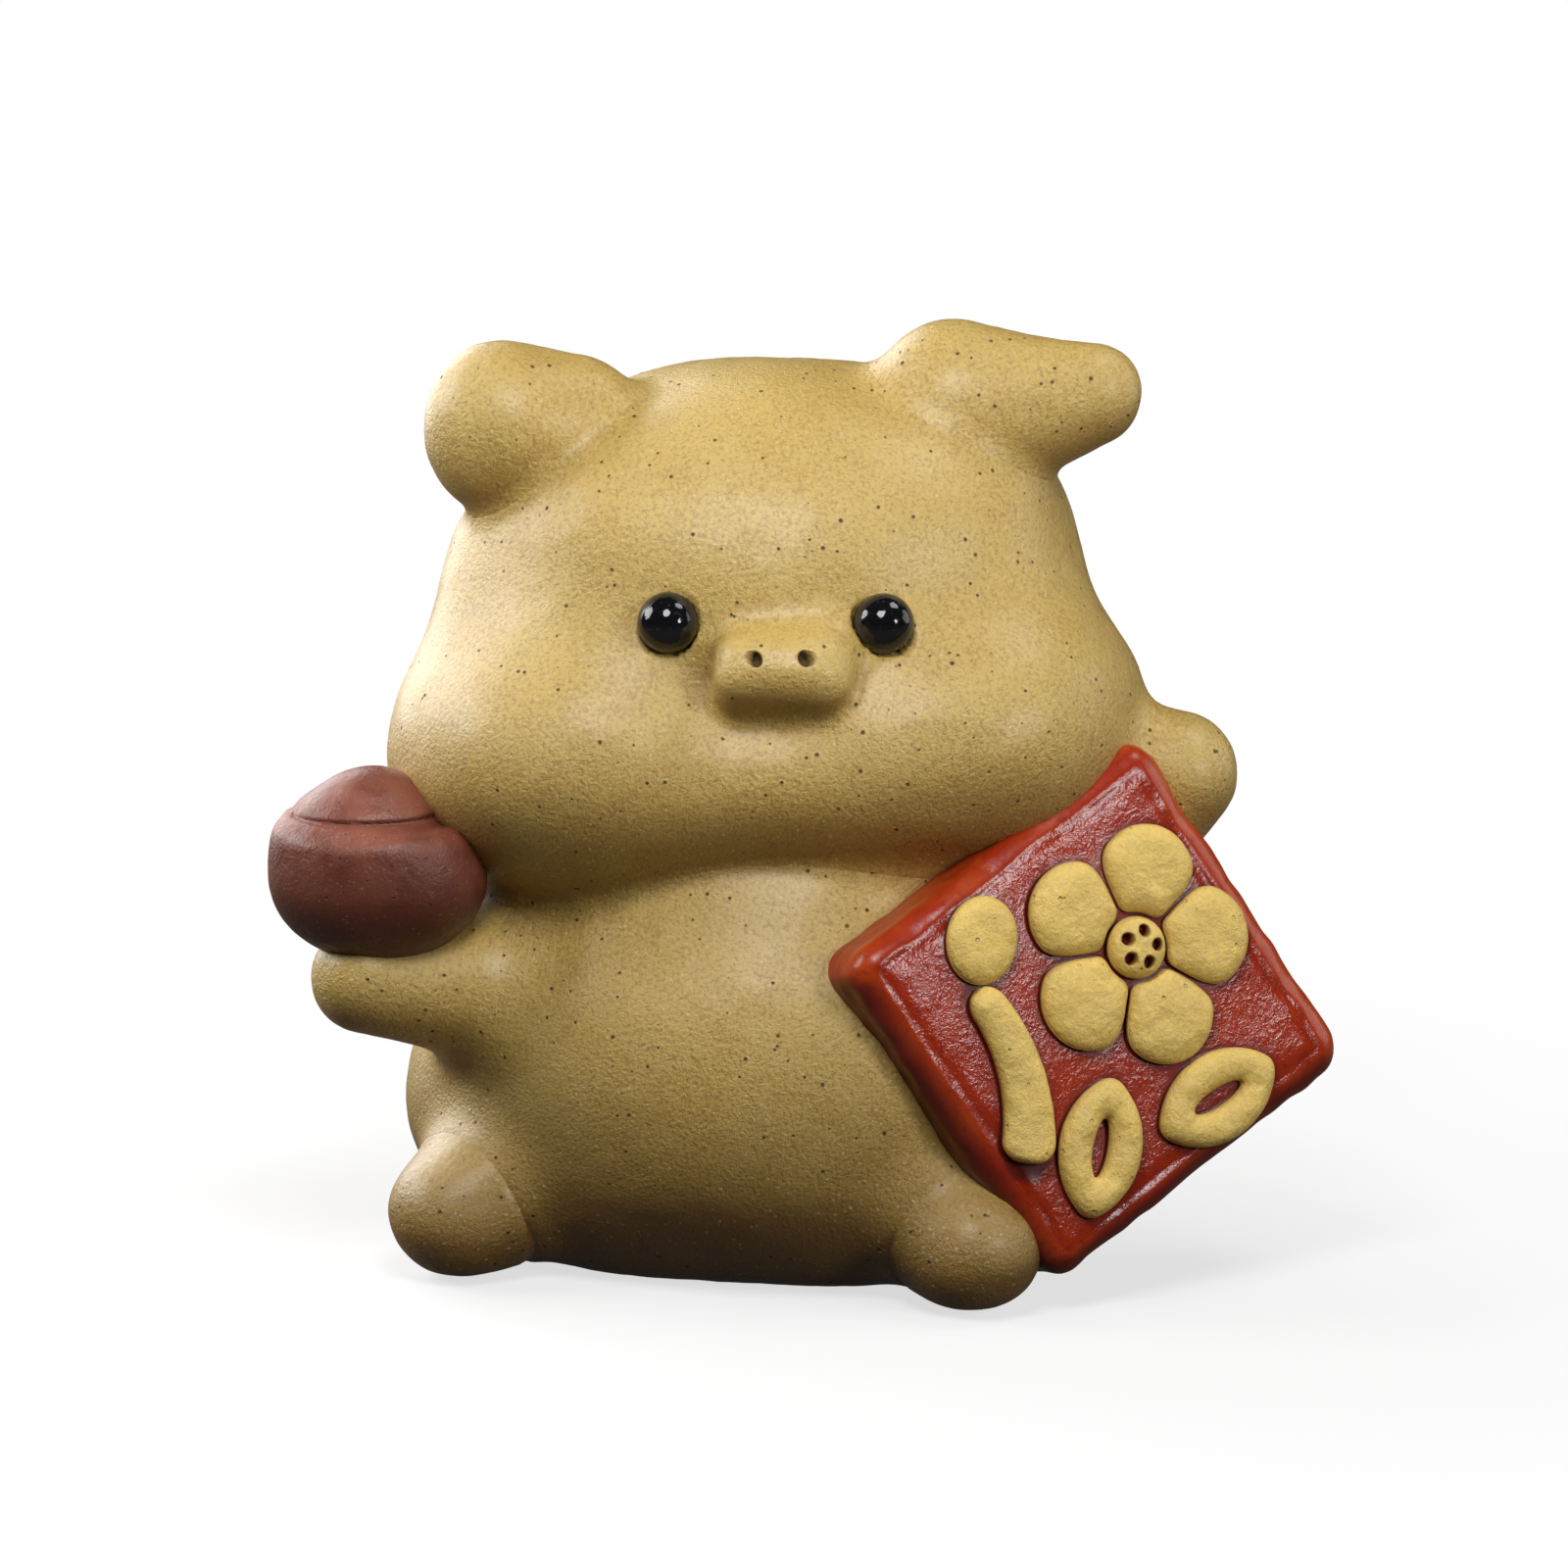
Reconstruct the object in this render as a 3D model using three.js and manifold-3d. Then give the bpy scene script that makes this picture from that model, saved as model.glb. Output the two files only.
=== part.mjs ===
// A hollow clay pig that sits on a flat base. It carries an ingot on its right hand and leans a
// glazed slab with a raised plum blossom against its left side. Millimetres, +Z up, facing -Y.
import * as THREE from 'three';
import { mergeVertices } from 'three/addons/utils/BufferGeometryUtils.js';
import Module from 'manifold-3d';

const wasm = await Module();
wasm.setup();

// Clay body
const torsoWall = 4;
const headWall = 4.4;
const jointGap = 0.3;
const tenonDepth = 2;
const footRing = 1.2; // rounding where the clay meets the table
const baseTrim = 0.05; // clay rubbed off the base to make it flat
const skinMargin = 0.9; // how far a fillet spreads over the piece beside it
const trimRounding = 0.6; // where a tenon, a socket or a petal is trimmed

// Torso
const bellyWidth = 55.2;
const bellyDepth = 45.6;
const bellyHeight = 37.2;
const bellyMiddle = 12.5; // height of the belly's widest level
const chestWidth = 43;
const chestDepth = 36;
const chestHeight = 26;
const chestRise = 14.5; // the chest's middle above the belly's
const waistBlend = 6;
const seatWidth = 50.4; // the full lower belly
const seatDepth = 43.6;
const seatHeight = 23;
const seatMiddle = 7;
const seatForward = 1.2;

// Head
const headRise = 6.8; // the head's middle above the top of the chest
const headTurn = 13;
const headTilt = -3.5;
const skullWidth = 46.6;
const skullDepth = 36;
const skullHeight = 32.8;
const skullLift = 4;
const skullBack = 1; // behind the head's middle
const cheekWidth = 30.8;
const cheekDepth = 30;
const cheekHeight = 27.6;
const cheekSpread = 26.8; // between the middles of the cheeks
const cheekDrop = 5.2;
const cheekForward = 3.2; // in front of the skull's middle
const cheekShift = -0.6; // towards the pig's left
const chinWidth = 28;
const chinDepth = 29;
const chinHeight = 23;
const chinDrop = 8.9;
const chinForward = 3.5; // in front of the skull's middle
const cheekBlend = 4;
const chinBlend = 5;
const skullBlend = 5;
const neckBlend = 2.5;

// Face, turned with the head but kept level
const eyeSpacing = 15.8;
const eyeHeight = 3.5; // above the head's middle
const eyeShift = 0.8; // towards the pig's left
const beadWidth = 4.5;
const snoutWidth = 9.8;
const snoutDepth = 6.8;
const snoutHeight = 5.9;
const snoutCorner = 2.4;
const snoutLift = 0.3;
const snoutShift = 1;
const snoutPitch = -12; // the nose points slightly upwards
const snoutStandOff = 0.7; // the block's middle in front of the face
const snoutBlend = 1.6;
const nostrilSpacing = 3.9;
const nostrilWidth = 1.15;
const nostrilDepth = 1.3;
const nostrilLift = 0.35;

// Ears: two lumps each, placed by their bearing from the skull's middle
const earRootWidth = 11.4;
const earRootDepth = 8.8;
const earRootHeight = 9.6;
const earRootOut = 1.6; // beyond the skull's surface
const earRootRise = 42;
const earRootForward = -2;
const earJoin = 7; // between an ear's two lumps
const earBlend = 4;
const rightTipWidth = 8.4;
const rightTipDepth = 7.6;
const rightTipHeight = 9.4;
const rightTipOut = 3.8;
const rightTipRise = 29;
const rightTipForward = 5;
const leftTipWidth = 7.8;
const leftTipDepth = 7.2;
const leftTipHeight = 9.8;
const leftTipOut = 6.1;
const leftTipRise = 26;
const leftTipForward = 0;

// Arms, placed by their bearing from the front of the torso
const rightArmHeight = 20.5;
const rightArmBearing = -53.5;
const rightArmReach = 8.4; // from the torso's surface to the middle of the hand
const rightArmLift = 1.5;
const rightHandWidth = 9.2;
const leftArmHeight = 24;
const leftArmBearing = 92;
const leftArmReach = 8.1;
const leftArmLift = 13.3;
const leftHandWidth = 8.9;
const shoulderWidth = 10.6;
const shoulderDepth = 4.5; // how far an arm starts inside the torso
const armMiddleShare = 0.7; // of the way from the shoulder to the hand
const armBlend = 3.5;

// Feet and tail
const footWidth = 11;
const footLength = 12;
const footHeight = 10.4;
const footMiddle = 4.8;
const footOut = 1;
const rightFootBearing = -47.5;
const leftFootBearing = 49;
const footToeOut = 30;
const footBlend = 3.5;
const tailWidth = 4.8;
const tailTipWidth = 3.7;
const tailLength = 6;
const tailHeight = 13;
const tailRise = 35;
const tailMiddleShare = 0.3; // of the way from the root to the tip
const tailBlend = 2.5;

// Ingot
const ingotWidth = 16.4;
const ingotDepth = 12.8;
const ingotHeight = 12.8;
const ingotTurn = 14;
const ingotSink = 2.7; // how far the ingot sits in the hand
const rimRise = 3.3; // the rim's lowest level above the boat's middle
const rimSweep = 0.02; // how fast the rim climbs to the two ends, per millimetre
const rimRounding = 1.2;
const domeWidth = 12;
const domeDepth = 10.4;
const domeHeight = 10.8;
const domeLift = 2.6;
const domeSetBack = 1.2;

// Slab
const slabSide = 29.4;
const slabThickness = 8.6;
const slabCorner = 2.6;
const slabEdge = 1.5;
const slabTurn = 37;
const slabLean = 13;
const slabRoll = 30.5;
const slabBearing = 70.8;
const slabHeight = 20.9; // height of the slab's middle
const slabOut = 3.3; // the slab's middle beyond the torso's surface

// Raised blossom, bud, twig and leaves on the slab, which stands on its corner
const reliefHeight = 1.25;
const reliefEdge = 0.45;
const reliefFoot = 0.3; // rounding where a moulded piece meets the slab
const reliefFlatness = 0.45; // of a petal, against its width
const reliefMiddle = 0.4; // height of a moulded piece's middle
const reliefClearance = 0.6; // between two raised pieces
const reliefMargin = 4.2; // from the twig's foot to the slab's edge
const petalCount = 5;
const petalLength = 7.6;
const petalWidth = 7.4;
const petalThickness = 2.8;
const petalReach = 5.2; // from the blossom's middle to a petal's middle
const blossomAcross = 1.8; // from the slab's middle
const blossomUp = 5;
const heartWidth = 4.6;
const heartThickness = 3;
const heartFlatness = 0.6;
const heartPits = 5;
const heartPitWidth = 0.9;
const heartPitRing = 1.3;
const budWidth = 5.2;
const budLength = 6;
const budAngle = 187; // round the blossom, from its right side
const twigWidth = 3.8; // at its foot
const twigMiddleWidth = 2.9;
const twigTipWidth = 2.2;
const twigBend = 3.2;
const twigFoot = 4.4; // to the left of the slab's lowest corner
const leafLength = 10.6;
const leafWidth = 6;
const leafSlotLength = 4.4;
const leafSlotWidth = 1.2;
const upperLeafAngle = -50;
const lowerLeafAngle = -92;

// Handmade unevenness of the clay
const unevenness = 0.22;
const unevenPitch = 21;
const unevenSlant = 0.7; // the second wave's pitch against the first's
const unevenStarts = [1.3, 0.4, 2.1, 0.9];

// Fineness of the moulded skins
const headDetail = 8;
const torsoDetail = 6;
const smoothDetail = 4;
const limbDetail = 3;
const smallDetail = 2;
const pitDetail = 0;
const nostrilSides = 10;
const weldTolerance = 1e-4;

// Places and directions
const point = (x, y, z) => new THREE.Vector3(x, y, z);
const half = (width, depth, height) => point(width / 2, depth / 2, height / 2);
const radians = THREE.MathUtils.degToRad;
const turned = (yaw, roll = 0, pitch = 0) =>
  new THREE.Quaternion().setFromEuler(new THREE.Euler(radians(pitch), radians(roll), radians(yaw), 'ZYX'));
// A bearing of 0 is straight ahead (-Y) and 90 is the pig's left (+X)
const bearing = (angle, rise = 0) =>
  point(
    Math.sin(radians(angle)) * Math.cos(radians(rise)),
    -Math.cos(radians(angle)) * Math.cos(radians(rise)),
    Math.sin(radians(rise)),
  );

// Fields: negative inside a lump, positive outside, and close to the distance in millimetres
const egg = (middle, radii, turn = new THREE.Quaternion()) => {
  const back = turn.clone().invert();
  const squares = radii.clone().multiply(radii);
  return (place) => {
    const local = place.clone().sub(middle).applyQuaternion(back);
    const near = local.clone().divide(radii).length();
    return (near * (near - 1)) / Math.max(local.divide(squares).length(), 1e-9);
  };
};
const limb = (from, to, startRadius, endRadius) => {
  const axis = to.clone().sub(from);
  return (place) => {
    const along = place.clone().sub(from).dot(axis) / axis.lengthSq();
    const share = THREE.MathUtils.clamp(along, 0, 1);
    const radius = startRadius + (endRadius - startRadius) * share;
    return place.distanceTo(from.clone().addScaledVector(axis, share)) - radius;
  };
};
const softBlock = (middle, halves, corner, turn) => {
  const back = turn.clone().invert();
  return (place) => {
    const local = place.clone().sub(middle).applyQuaternion(back);
    const folded = point(Math.abs(local.x), Math.abs(local.y), Math.abs(local.z));
    const beyond = folded.sub(halves).addScalar(corner);
    const inner = Math.min(Math.max(beyond.x, beyond.y, beyond.z), 0);
    return beyond.max(point(0, 0, 0)).length() + inner - corner;
  };
};
const join = (first, second, width) => (place) => {
  const one = first(place);
  const other = second(place);
  const overlap = Math.max(width - Math.abs(one - other), 0) / width;
  return Math.min(one, other) - (overlap * overlap * width) / 4;
};
const outside = (field) => (place) => -field(place);
const keep = (first, second, width = trimRounding) => outside(join(outside(first), outside(second), width));
const grown = (field, amount) => (place) => field(place) - amount;
const nearest = (...fields) => (place) => Math.min(...fields.map((field) => field(place)));
const wave = (place) => {
  const pace = (2 * Math.PI) / unevenPitch;
  const [one, two, three, four] = unevenStarts;
  const across = Math.sin(place.x * pace + one) * Math.sin(place.y * pace + two);
  const upright = Math.sin(place.z * pace + three) * Math.sin(place.x * pace * unevenSlant + four);
  return unevenness * (across + upright);
};
const above = (level) => (place) => level - place.z;

// The way from a point inside a lump to its surface
function wayOut(field, start, direction) {
  const leastStep = 0.08;
  const caution = 0.5;
  const halvings = 26;
  let inside = 0;
  let step = leastStep;
  while (field(start.clone().addScaledVector(direction, inside + step)) < 0) {
    inside += step;
    step = Math.max(leastStep, -caution * field(start.clone().addScaledVector(direction, inside)));
  }
  let out = inside + step;
  for (let halving = 0; halving < halvings; halving += 1) {
    const middle = (inside + out) / 2;
    if (field(start.clone().addScaledVector(direction, middle)) < 0) inside = middle;
    else out = middle;
  }
  return out;
}
const surfaceAt = (field, start, direction) =>
  start.clone().addScaledVector(direction, wayOut(field, start, direction));

// Solids
function solid(geometry) {
  geometry.deleteAttribute('normal');
  geometry.deleteAttribute('uv');
  const merged = mergeVertices(geometry, weldTolerance);
  return new wasm.Manifold(new wasm.Mesh({
    numProp: 3,
    vertProperties: merged.attributes.position.array,
    triVerts: Uint32Array.from(merged.index.array),
  }));
}
// A lump's skin: a fine ball whose corners are pushed out from its middle until they meet the surface
function mould(field, middle, detail, proportions = point(1, 1, 1)) {
  const ball = new THREE.IcosahedronGeometry(1, detail);
  const corners = ball.attributes.position;
  const known = new Map();
  for (let index = 0; index < corners.count; index += 1) {
    const direction = point(0, 0, 0).fromBufferAttribute(corners, index).normalize();
    const key = direction.toArray().map((value) => value.toFixed(5)).join();
    direction.multiply(proportions).normalize();
    if (!known.has(key)) known.set(key, surfaceAt(field, middle, direction));
    corners.setXYZ(index, ...known.get(key).toArray());
  }
  return solid(ball);
}
function skinOf(body, middle) {
  const skin = body.getMesh();
  const geometry = new THREE.BufferGeometry();
  geometry.setAttribute('position', new THREE.BufferAttribute(Float32Array.from(skin.vertProperties), 3));
  geometry.setIndex(new THREE.BufferAttribute(Uint32Array.from(skin.triVerts), 1));
  geometry.translate(-middle.x, -middle.y, -middle.z);
  geometry.computeVertexNormals();
  return geometry;
}

// Finishes
const finish = (color, roughness) => new THREE.MeshStandardMaterial({ color, roughness, metalness: 0 });
const yellowClay = finish(0xc3a463, 0.62);
const redClay = finish(0x7d4031, 0.6);
const redGlaze = finish(0x9c3018, 0.32);
const blackGlaze = finish(0x0b0b0c, 0.08);

// Lumps of the torso
const bellyAt = point(0, 0, bellyMiddle);
const chestAt = point(0, 0, bellyMiddle + chestRise);
const belly = egg(bellyAt, half(bellyWidth, bellyDepth, bellyHeight));
const chest = egg(chestAt, half(chestWidth, chestDepth, chestHeight));
const seat = egg(point(0, -seatForward, seatMiddle), half(seatWidth, seatDepth, seatHeight));
const torsoLump = join(join(belly, seat, waistBlend), chest, waistBlend);

// Lumps of the head, in a frame turned and tilted about its middle
const headAt = point(0, 0, chestAt.z + chestHeight / 2 + headRise);
const headFrame = turned(headTurn, headTilt);
const inHead = (x, y, z) => point(x, y, z).applyQuaternion(headFrame).add(headAt);
const skullAt = inHead(0, skullBack, skullLift);
const skull = egg(skullAt, half(skullWidth, skullDepth, skullHeight), headFrame);
const cheek = (side) =>
  egg(
    inHead((side * cheekSpread) / 2 + cheekShift, skullBack - cheekForward, -cheekDrop),
    half(cheekWidth, cheekDepth, cheekHeight),
    headFrame,
  );
const chinAt = inHead(0, skullBack - chinForward, -chinDrop);
const chin = egg(chinAt, half(chinWidth, chinDepth, chinHeight), headFrame);
const cheeks = join(cheek(-1), cheek(1), cheekBlend);
const headLump = join(join(cheeks, chin, chinBlend), skull, skullBlend);
const core = nearest(torsoLump, headLump);

// Ears
const earSeat = (side, out, rise, forward = 0) => {
  const way = bearing(side * (90 - forward), rise).applyQuaternion(headFrame);
  return surfaceAt(skull, skullAt, way).addScaledVector(way, out);
};
const earRoot = half(earRootWidth, earRootDepth, earRootHeight);
const earLump = (side, out, rise, forward, tip) =>
  join(
    egg(earSeat(side, earRootOut, earRootRise, earRootForward), earRoot, headFrame),
    egg(earSeat(side, out, rise, forward), tip, headFrame),
    earJoin,
  );
const rightTip = half(rightTipWidth, rightTipDepth, rightTipHeight);
const leftTip = half(leftTipWidth, leftTipDepth, leftTipHeight);
const earRightLump = earLump(-1, rightTipOut, rightTipRise, rightTipForward, rightTip);
const earLeftLump = earLump(1, leftTipOut, leftTipRise, leftTipForward, leftTip);
const earRightAt = earSeat(-1, (earRootOut + rightTipOut) / 2, (earRootRise + rightTipRise) / 2);
const earLeftAt = earSeat(1, (earRootOut + leftTipOut) / 2, (earRootRise + leftTipRise) / 2);

// Face
const faceFrame = turned(headTurn);
const ahead = bearing(headTurn);
const onFace = (x, z) => surfaceAt(headLump, point(x, 0, z).applyQuaternion(faceFrame).add(headAt), ahead);
const eyeAt = (side) => onFace(eyeShift + (side * eyeSpacing) / 2, eyeHeight);
const snoutFrame = turned(headTurn, 0, snoutPitch);
const snoutAt = onFace(snoutShift, snoutLift).addScaledVector(ahead, snoutStandOff);
const snoutLump = softBlock(snoutAt, half(snoutWidth, snoutDepth, snoutHeight), snoutCorner, snoutFrame);

// Arms
const armEnds = (height, angle, reach, lift) => {
  const way = bearing(angle);
  const shoulder = surfaceAt(torsoLump, point(0, 0, height), way);
  const hand = shoulder.clone().addScaledVector(way, reach).add(point(0, 0, lift));
  return [shoulder.addScaledVector(way, -shoulderDepth), hand];
};
const [rightShoulder, rightHand] = armEnds(rightArmHeight, rightArmBearing, rightArmReach, rightArmLift);
const [leftShoulder, leftHand] = armEnds(leftArmHeight, leftArmBearing, leftArmReach, leftArmLift);
const armRightLump = limb(rightShoulder, rightHand, shoulderWidth / 2, rightHandWidth / 2);
const armLeftLump = limb(leftShoulder, leftHand, shoulderWidth / 2, leftHandWidth / 2);

// Feet and tail
const footAt = (side) => {
  const way = bearing(side < 0 ? rightFootBearing : leftFootBearing);
  return surfaceAt(torsoLump, point(0, 0, footMiddle), way).addScaledVector(way, footOut);
};
const footHalf = half(footWidth, footLength, footHeight);
const footLump = (side) => egg(footAt(side), footHalf, turned(side * footToeOut));
const tailWay = bearing(180, tailRise);
const tailRoot = surfaceAt(torsoLump, point(0, 0, tailHeight), bearing(180));
const tailEnd = tailRoot.clone().addScaledVector(tailWay, tailLength - tailWidth / 2);
const tailStart = tailRoot.clone().addScaledVector(tailWay, -tailWidth);
const tailLump = limb(tailStart, tailEnd, tailWidth / 2, tailTipWidth / 2);

// Ingot, seated in the right hand
const ingotAt = rightHand.clone().add(point(0, 0, rightHandWidth / 2 + ingotHeight / 2 - ingotSink));
const ingotFrame = turned(ingotTurn);
const boatHull = egg(ingotAt, half(ingotWidth, ingotDepth, ingotHeight), ingotFrame);
const domeAt = point(-domeSetBack, domeSetBack, domeLift).applyQuaternion(ingotFrame).add(ingotAt);
const domeLump = egg(domeAt, half(domeWidth, domeDepth, domeHeight), ingotFrame);
const belowRim = (place) => {
  const local = place.clone().sub(ingotAt).applyQuaternion(ingotFrame.clone().invert());
  return local.z - rimRise - rimSweep * local.x * local.x;
};
const boatLump = keep(boatHull, belowRim, rimRounding);

// Slab, leaning on the torso's left side; across runs along its upper edge and out of its face is +Z
const slabNormal = bearing(slabTurn, slabLean);
const level = bearing(slabTurn + 90);
const slabFrame = new THREE.Quaternion().setFromRotationMatrix(
  new THREE.Matrix4().makeBasis(level, slabNormal.clone().cross(level), slabNormal),
).multiply(turned(slabRoll));
const slabWay = bearing(slabBearing);
const slabAt = surfaceAt(torsoLump, point(0, 0, slabHeight), slabWay).addScaledVector(slabWay, slabOut);
function slabGeometry(extra) {
  const reach = slabSide / 2 + extra;
  const corner = slabCorner + extra;
  const outline = new THREE.Shape();
  for (let side = 0; side < 4; side += 1) {
    const start = (side * Math.PI) / 2;
    const turn = point(reach - corner, reach - corner, 0).applyAxisAngle(point(0, 0, 1), start);
    outline.absarc(turn.x, turn.y, corner, start, start + Math.PI / 2);
  }
  const geometry = new THREE.ExtrudeGeometry(outline, {
    depth: slabThickness + 2 * extra - 2 * slabEdge,
    bevelSize: slabEdge,
    bevelOffset: -slabEdge,
    bevelThickness: slabEdge,
    bevelSegments: 3,
    curveSegments: 4,
  });
  return geometry.translate(0, 0, slabEdge - slabThickness / 2 - extra);
}
const slabCutter = solid(
  slabGeometry(jointGap).applyMatrix4(new THREE.Matrix4().compose(slabAt, slabFrame, point(1, 1, 1))),
);

// The clay as one surface, with every joint filleted
const bodyOn = join(headLump, torsoLump, neckBlend);
const earsOn = join(join(bodyOn, earRightLump, earBlend), earLeftLump, earBlend);
const armsOn = join(join(earsOn, armRightLump, armBlend), armLeftLump, armBlend);
const feetOn = join(join(armsOn, footLump(-1), footBlend), footLump(1), footBlend);
const allClay = join(join(feetOn, snoutLump, snoutBlend), tailLump, tailBlend);
const clay = keep((place) => allClay(place) + wave(place), above(-baseTrim), footRing);

// The table top, which trims the base flat
const tableThickness = 20;
const tableSide = bellyWidth * 3;
const tableBox = new THREE.BoxGeometry(tableSide, tableSide, tableThickness);
const table = solid(tableBox.translate(0, 0, -tableThickness / 2));

// A limb keeps the clay's surface up to its joint, and its tenon follows the lump under it
function limbPieces(lump, middle, blend, detail, under = core) {
  const rim = grown(lump, blend / 4);
  const skin = mould(keep(clay, grown(rim, skinMargin)), middle, detail);
  const tenon = mould(keep(rim, outside(grown(under, -tenonDepth))), middle, detail);
  const socket = keep(grown(rim, jointGap), outside(grown(under, -tenonDepth - jointGap)));
  return { body: skin.intersect(tenon).subtract(table), socket: mould(socket, middle, detail), middle };
}
const middleOf = (from, to) => from.clone().lerp(to, armMiddleShare);
const tailMiddle = tailRoot.clone().lerp(tailEnd, tailMiddleShare);
const earRight = limbPieces(earRightLump, earRightAt, earBlend, limbDetail, headLump);
const earLeft = limbPieces(earLeftLump, earLeftAt, earBlend, limbDetail, headLump);
const snout = limbPieces(snoutLump, snoutAt, snoutBlend, limbDetail, headLump);
const armRight = limbPieces(armRightLump, middleOf(rightShoulder, rightHand), armBlend, limbDetail);
const armLeft = limbPieces(armLeftLump, middleOf(leftShoulder, leftHand), armBlend, limbDetail);
const footRight = limbPieces(footLump(-1), footAt(-1), footBlend, smallDetail);
const footLeft = limbPieces(footLump(1), footAt(1), footBlend, smallDetail);
const tail = limbPieces(tailLump, tailMiddle, tailBlend, smallDetail);

// Head and torso shells
const torsoMiddle = point(0, 0, bellyMiddle + chestRise / 4);
const headRim = grown(headLump, neckBlend / 4);
const torsoRim = grown(torsoLump, skinMargin + earBlend / 4);
const torsoHollow = mould(grown(torsoLump, -torsoWall), torsoMiddle, limbDetail);
const headHollow = mould(grown(headLump, -headWall), headAt, smoothDetail);
const headSkin = mould(keep(clay, grown(headLump, skinMargin + earBlend / 4)), headAt, headDetail);
const torsoSkin = mould(keep(clay, torsoRim), torsoMiddle, torsoDetail);
const neckSeat = mould(grown(headRim, jointGap), headAt, torsoDetail);
const headTrim = mould(headRim, headAt, torsoDetail);
const eyeSocket = (side) => {
  const ball = new THREE.IcosahedronGeometry(beadWidth / 2 + jointGap, smallDetail);
  return solid(ball.translate(...eyeAt(side).toArray()));
};
const ingotCutter = mould(grown(nearest(boatHull, domeLump), jointGap), ingotAt, limbDetail);
const without = (body, ...cutters) => cutters.reduce((rest, cutter) => rest.subtract(cutter), body);
const headShell = without(
  headSkin.subtract(torsoSkin.subtract(headTrim)),
  headHollow,
  torsoHollow,
  earRight.socket,
  earLeft.socket,
  snout.socket,
  armLeft.socket,
  armRight.socket,
  eyeSocket(-1),
  eyeSocket(1),
  slabCutter,
  ingotCutter,
);
const torsoShell = without(
  torsoSkin,
  torsoHollow,
  neckSeat,
  armLeft.socket,
  armRight.socket,
  footLeft.socket,
  footRight.socket,
  tail.socket,
  slabCutter,
  ingotCutter,
  table,
);

// Nostrils, poked into the front of the snout by a cone that is nostrilWidth wide halfway down
const nostrils = [-1, 1].map((side) => {
  const cone = new THREE.ConeGeometry(nostrilWidth, 2 * nostrilDepth, nostrilSides);
  const place = point((side * nostrilSpacing) / 2, -snoutDepth / 2, nostrilLift);
  cone.applyQuaternion(snoutFrame);
  return solid(cone.translate(...place.applyQuaternion(snoutFrame).add(snoutAt).toArray()));
});

// The figurine
const pig = new THREE.Group();
function place(name, geometry, material, at = point(0, 0, 0), parent = pig) {
  const mesh = new THREE.Mesh(geometry, material);
  mesh.name = name;
  mesh.position.copy(at);
  parent.add(mesh);
  return mesh;
}
const placeSolid = (name, body, material, at) => place(name, skinOf(body, at), material, at);

placeSolid('torso_shell', torsoShell, yellowClay, torsoMiddle);
placeSolid('head_shell', headShell, yellowClay, headAt);
placeSolid('ear_right', earRight.body, yellowClay, earRight.middle);
placeSolid('ear_left', earLeft.body, yellowClay, earLeft.middle);
placeSolid('snout', without(snout.body, ...nostrils), yellowClay, snout.middle);
placeSolid('arm_right', armRight.body.subtract(ingotCutter), yellowClay, armRight.middle);
placeSolid('arm_left', armLeft.body.subtract(slabCutter), yellowClay, armLeft.middle);
placeSolid('foot_right', footRight.body, yellowClay, footRight.middle);
placeSolid('foot_left', footLeft.body.subtract(slabCutter), yellowClay, footLeft.middle);
placeSolid('tail', tail.body, yellowClay, tail.middle);
const bead = () => new THREE.IcosahedronGeometry(beadWidth / 2, smallDetail);
place('eye_right', bead(), blackGlaze, eyeAt(-1));
place('eye_left', bead(), blackGlaze, eyeAt(1));

const domeSeat = mould(grown(domeLump, jointGap), domeAt, limbDetail);
placeSolid('ingot_boat', mould(boatLump, ingotAt, smoothDetail).subtract(domeSeat), redClay, ingotAt);
placeSolid('ingot_dome', mould(domeLump, domeAt, limbDetail), redClay, domeAt);

// Slab and its relief, in a turned group
const slabGroup = new THREE.Group();
slabGroup.position.copy(slabAt);
slabGroup.quaternion.copy(slabFrame);
pig.add(slabGroup);
place('tile_slab', slabGeometry(0), redGlaze, point(0, 0, 0), slabGroup);

// The relief stands on the slab's corner, so that up runs from the lowest corner to the highest
const relief = new THREE.Group();
relief.position.z = slabThickness / 2 + jointGap;
relief.rotation.z = -Math.PI / 4;
slabGroup.add(relief);
const blossomAt = point(blossomAcross, blossomUp, 0);
const blossomReach = petalReach + petalLength / 2 + reliefClearance;
const across = (angle) => point(Math.cos(radians(angle)), Math.sin(radians(angle)), 0);
const aroundBlossom = (angle, away) => blossomAt.clone().addScaledVector(across(angle), blossomReach + away);
const budAt = aroundBlossom(budAngle, budWidth / 2);
const heart = egg(blossomAt, half(heartWidth, heartWidth, heartThickness));
const onSlab = above(0);
const flat = point(1, 1, reliefFlatness);
for (let petal = 0; petal < petalCount; petal += 1) {
  const angle = 90 + (petal * 360) / petalCount;
  const way = across(angle);
  const side = across(angle + 90);
  const petalAt = blossomAt.clone().addScaledVector(way, petalReach);
  const lump = egg(petalAt, half(petalLength, petalWidth, petalThickness), turned(angle));
  const slope = Math.tan(Math.PI / petalCount);
  const sector = (spot) => {
    const from = spot.clone().sub(blossomAt);
    return (Math.abs(from.dot(side)) - slope * from.dot(way)) * Math.cos(Math.PI / petalCount) + jointGap / 2;
  };
  const shape = keep(keep(keep(lump, sector), outside(grown(heart, jointGap))), onSlab, reliefFoot);
  const middle = petalAt.clone().setZ(reliefMiddle);
  const petalBody = mould(shape, middle, smallDetail, flat);
  place(`relief_petal_${petal + 1}`, skinOf(petalBody, middle), yellowClay, middle, relief);
}
const heartMiddle = blossomAt.clone().setZ(reliefMiddle);
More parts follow.
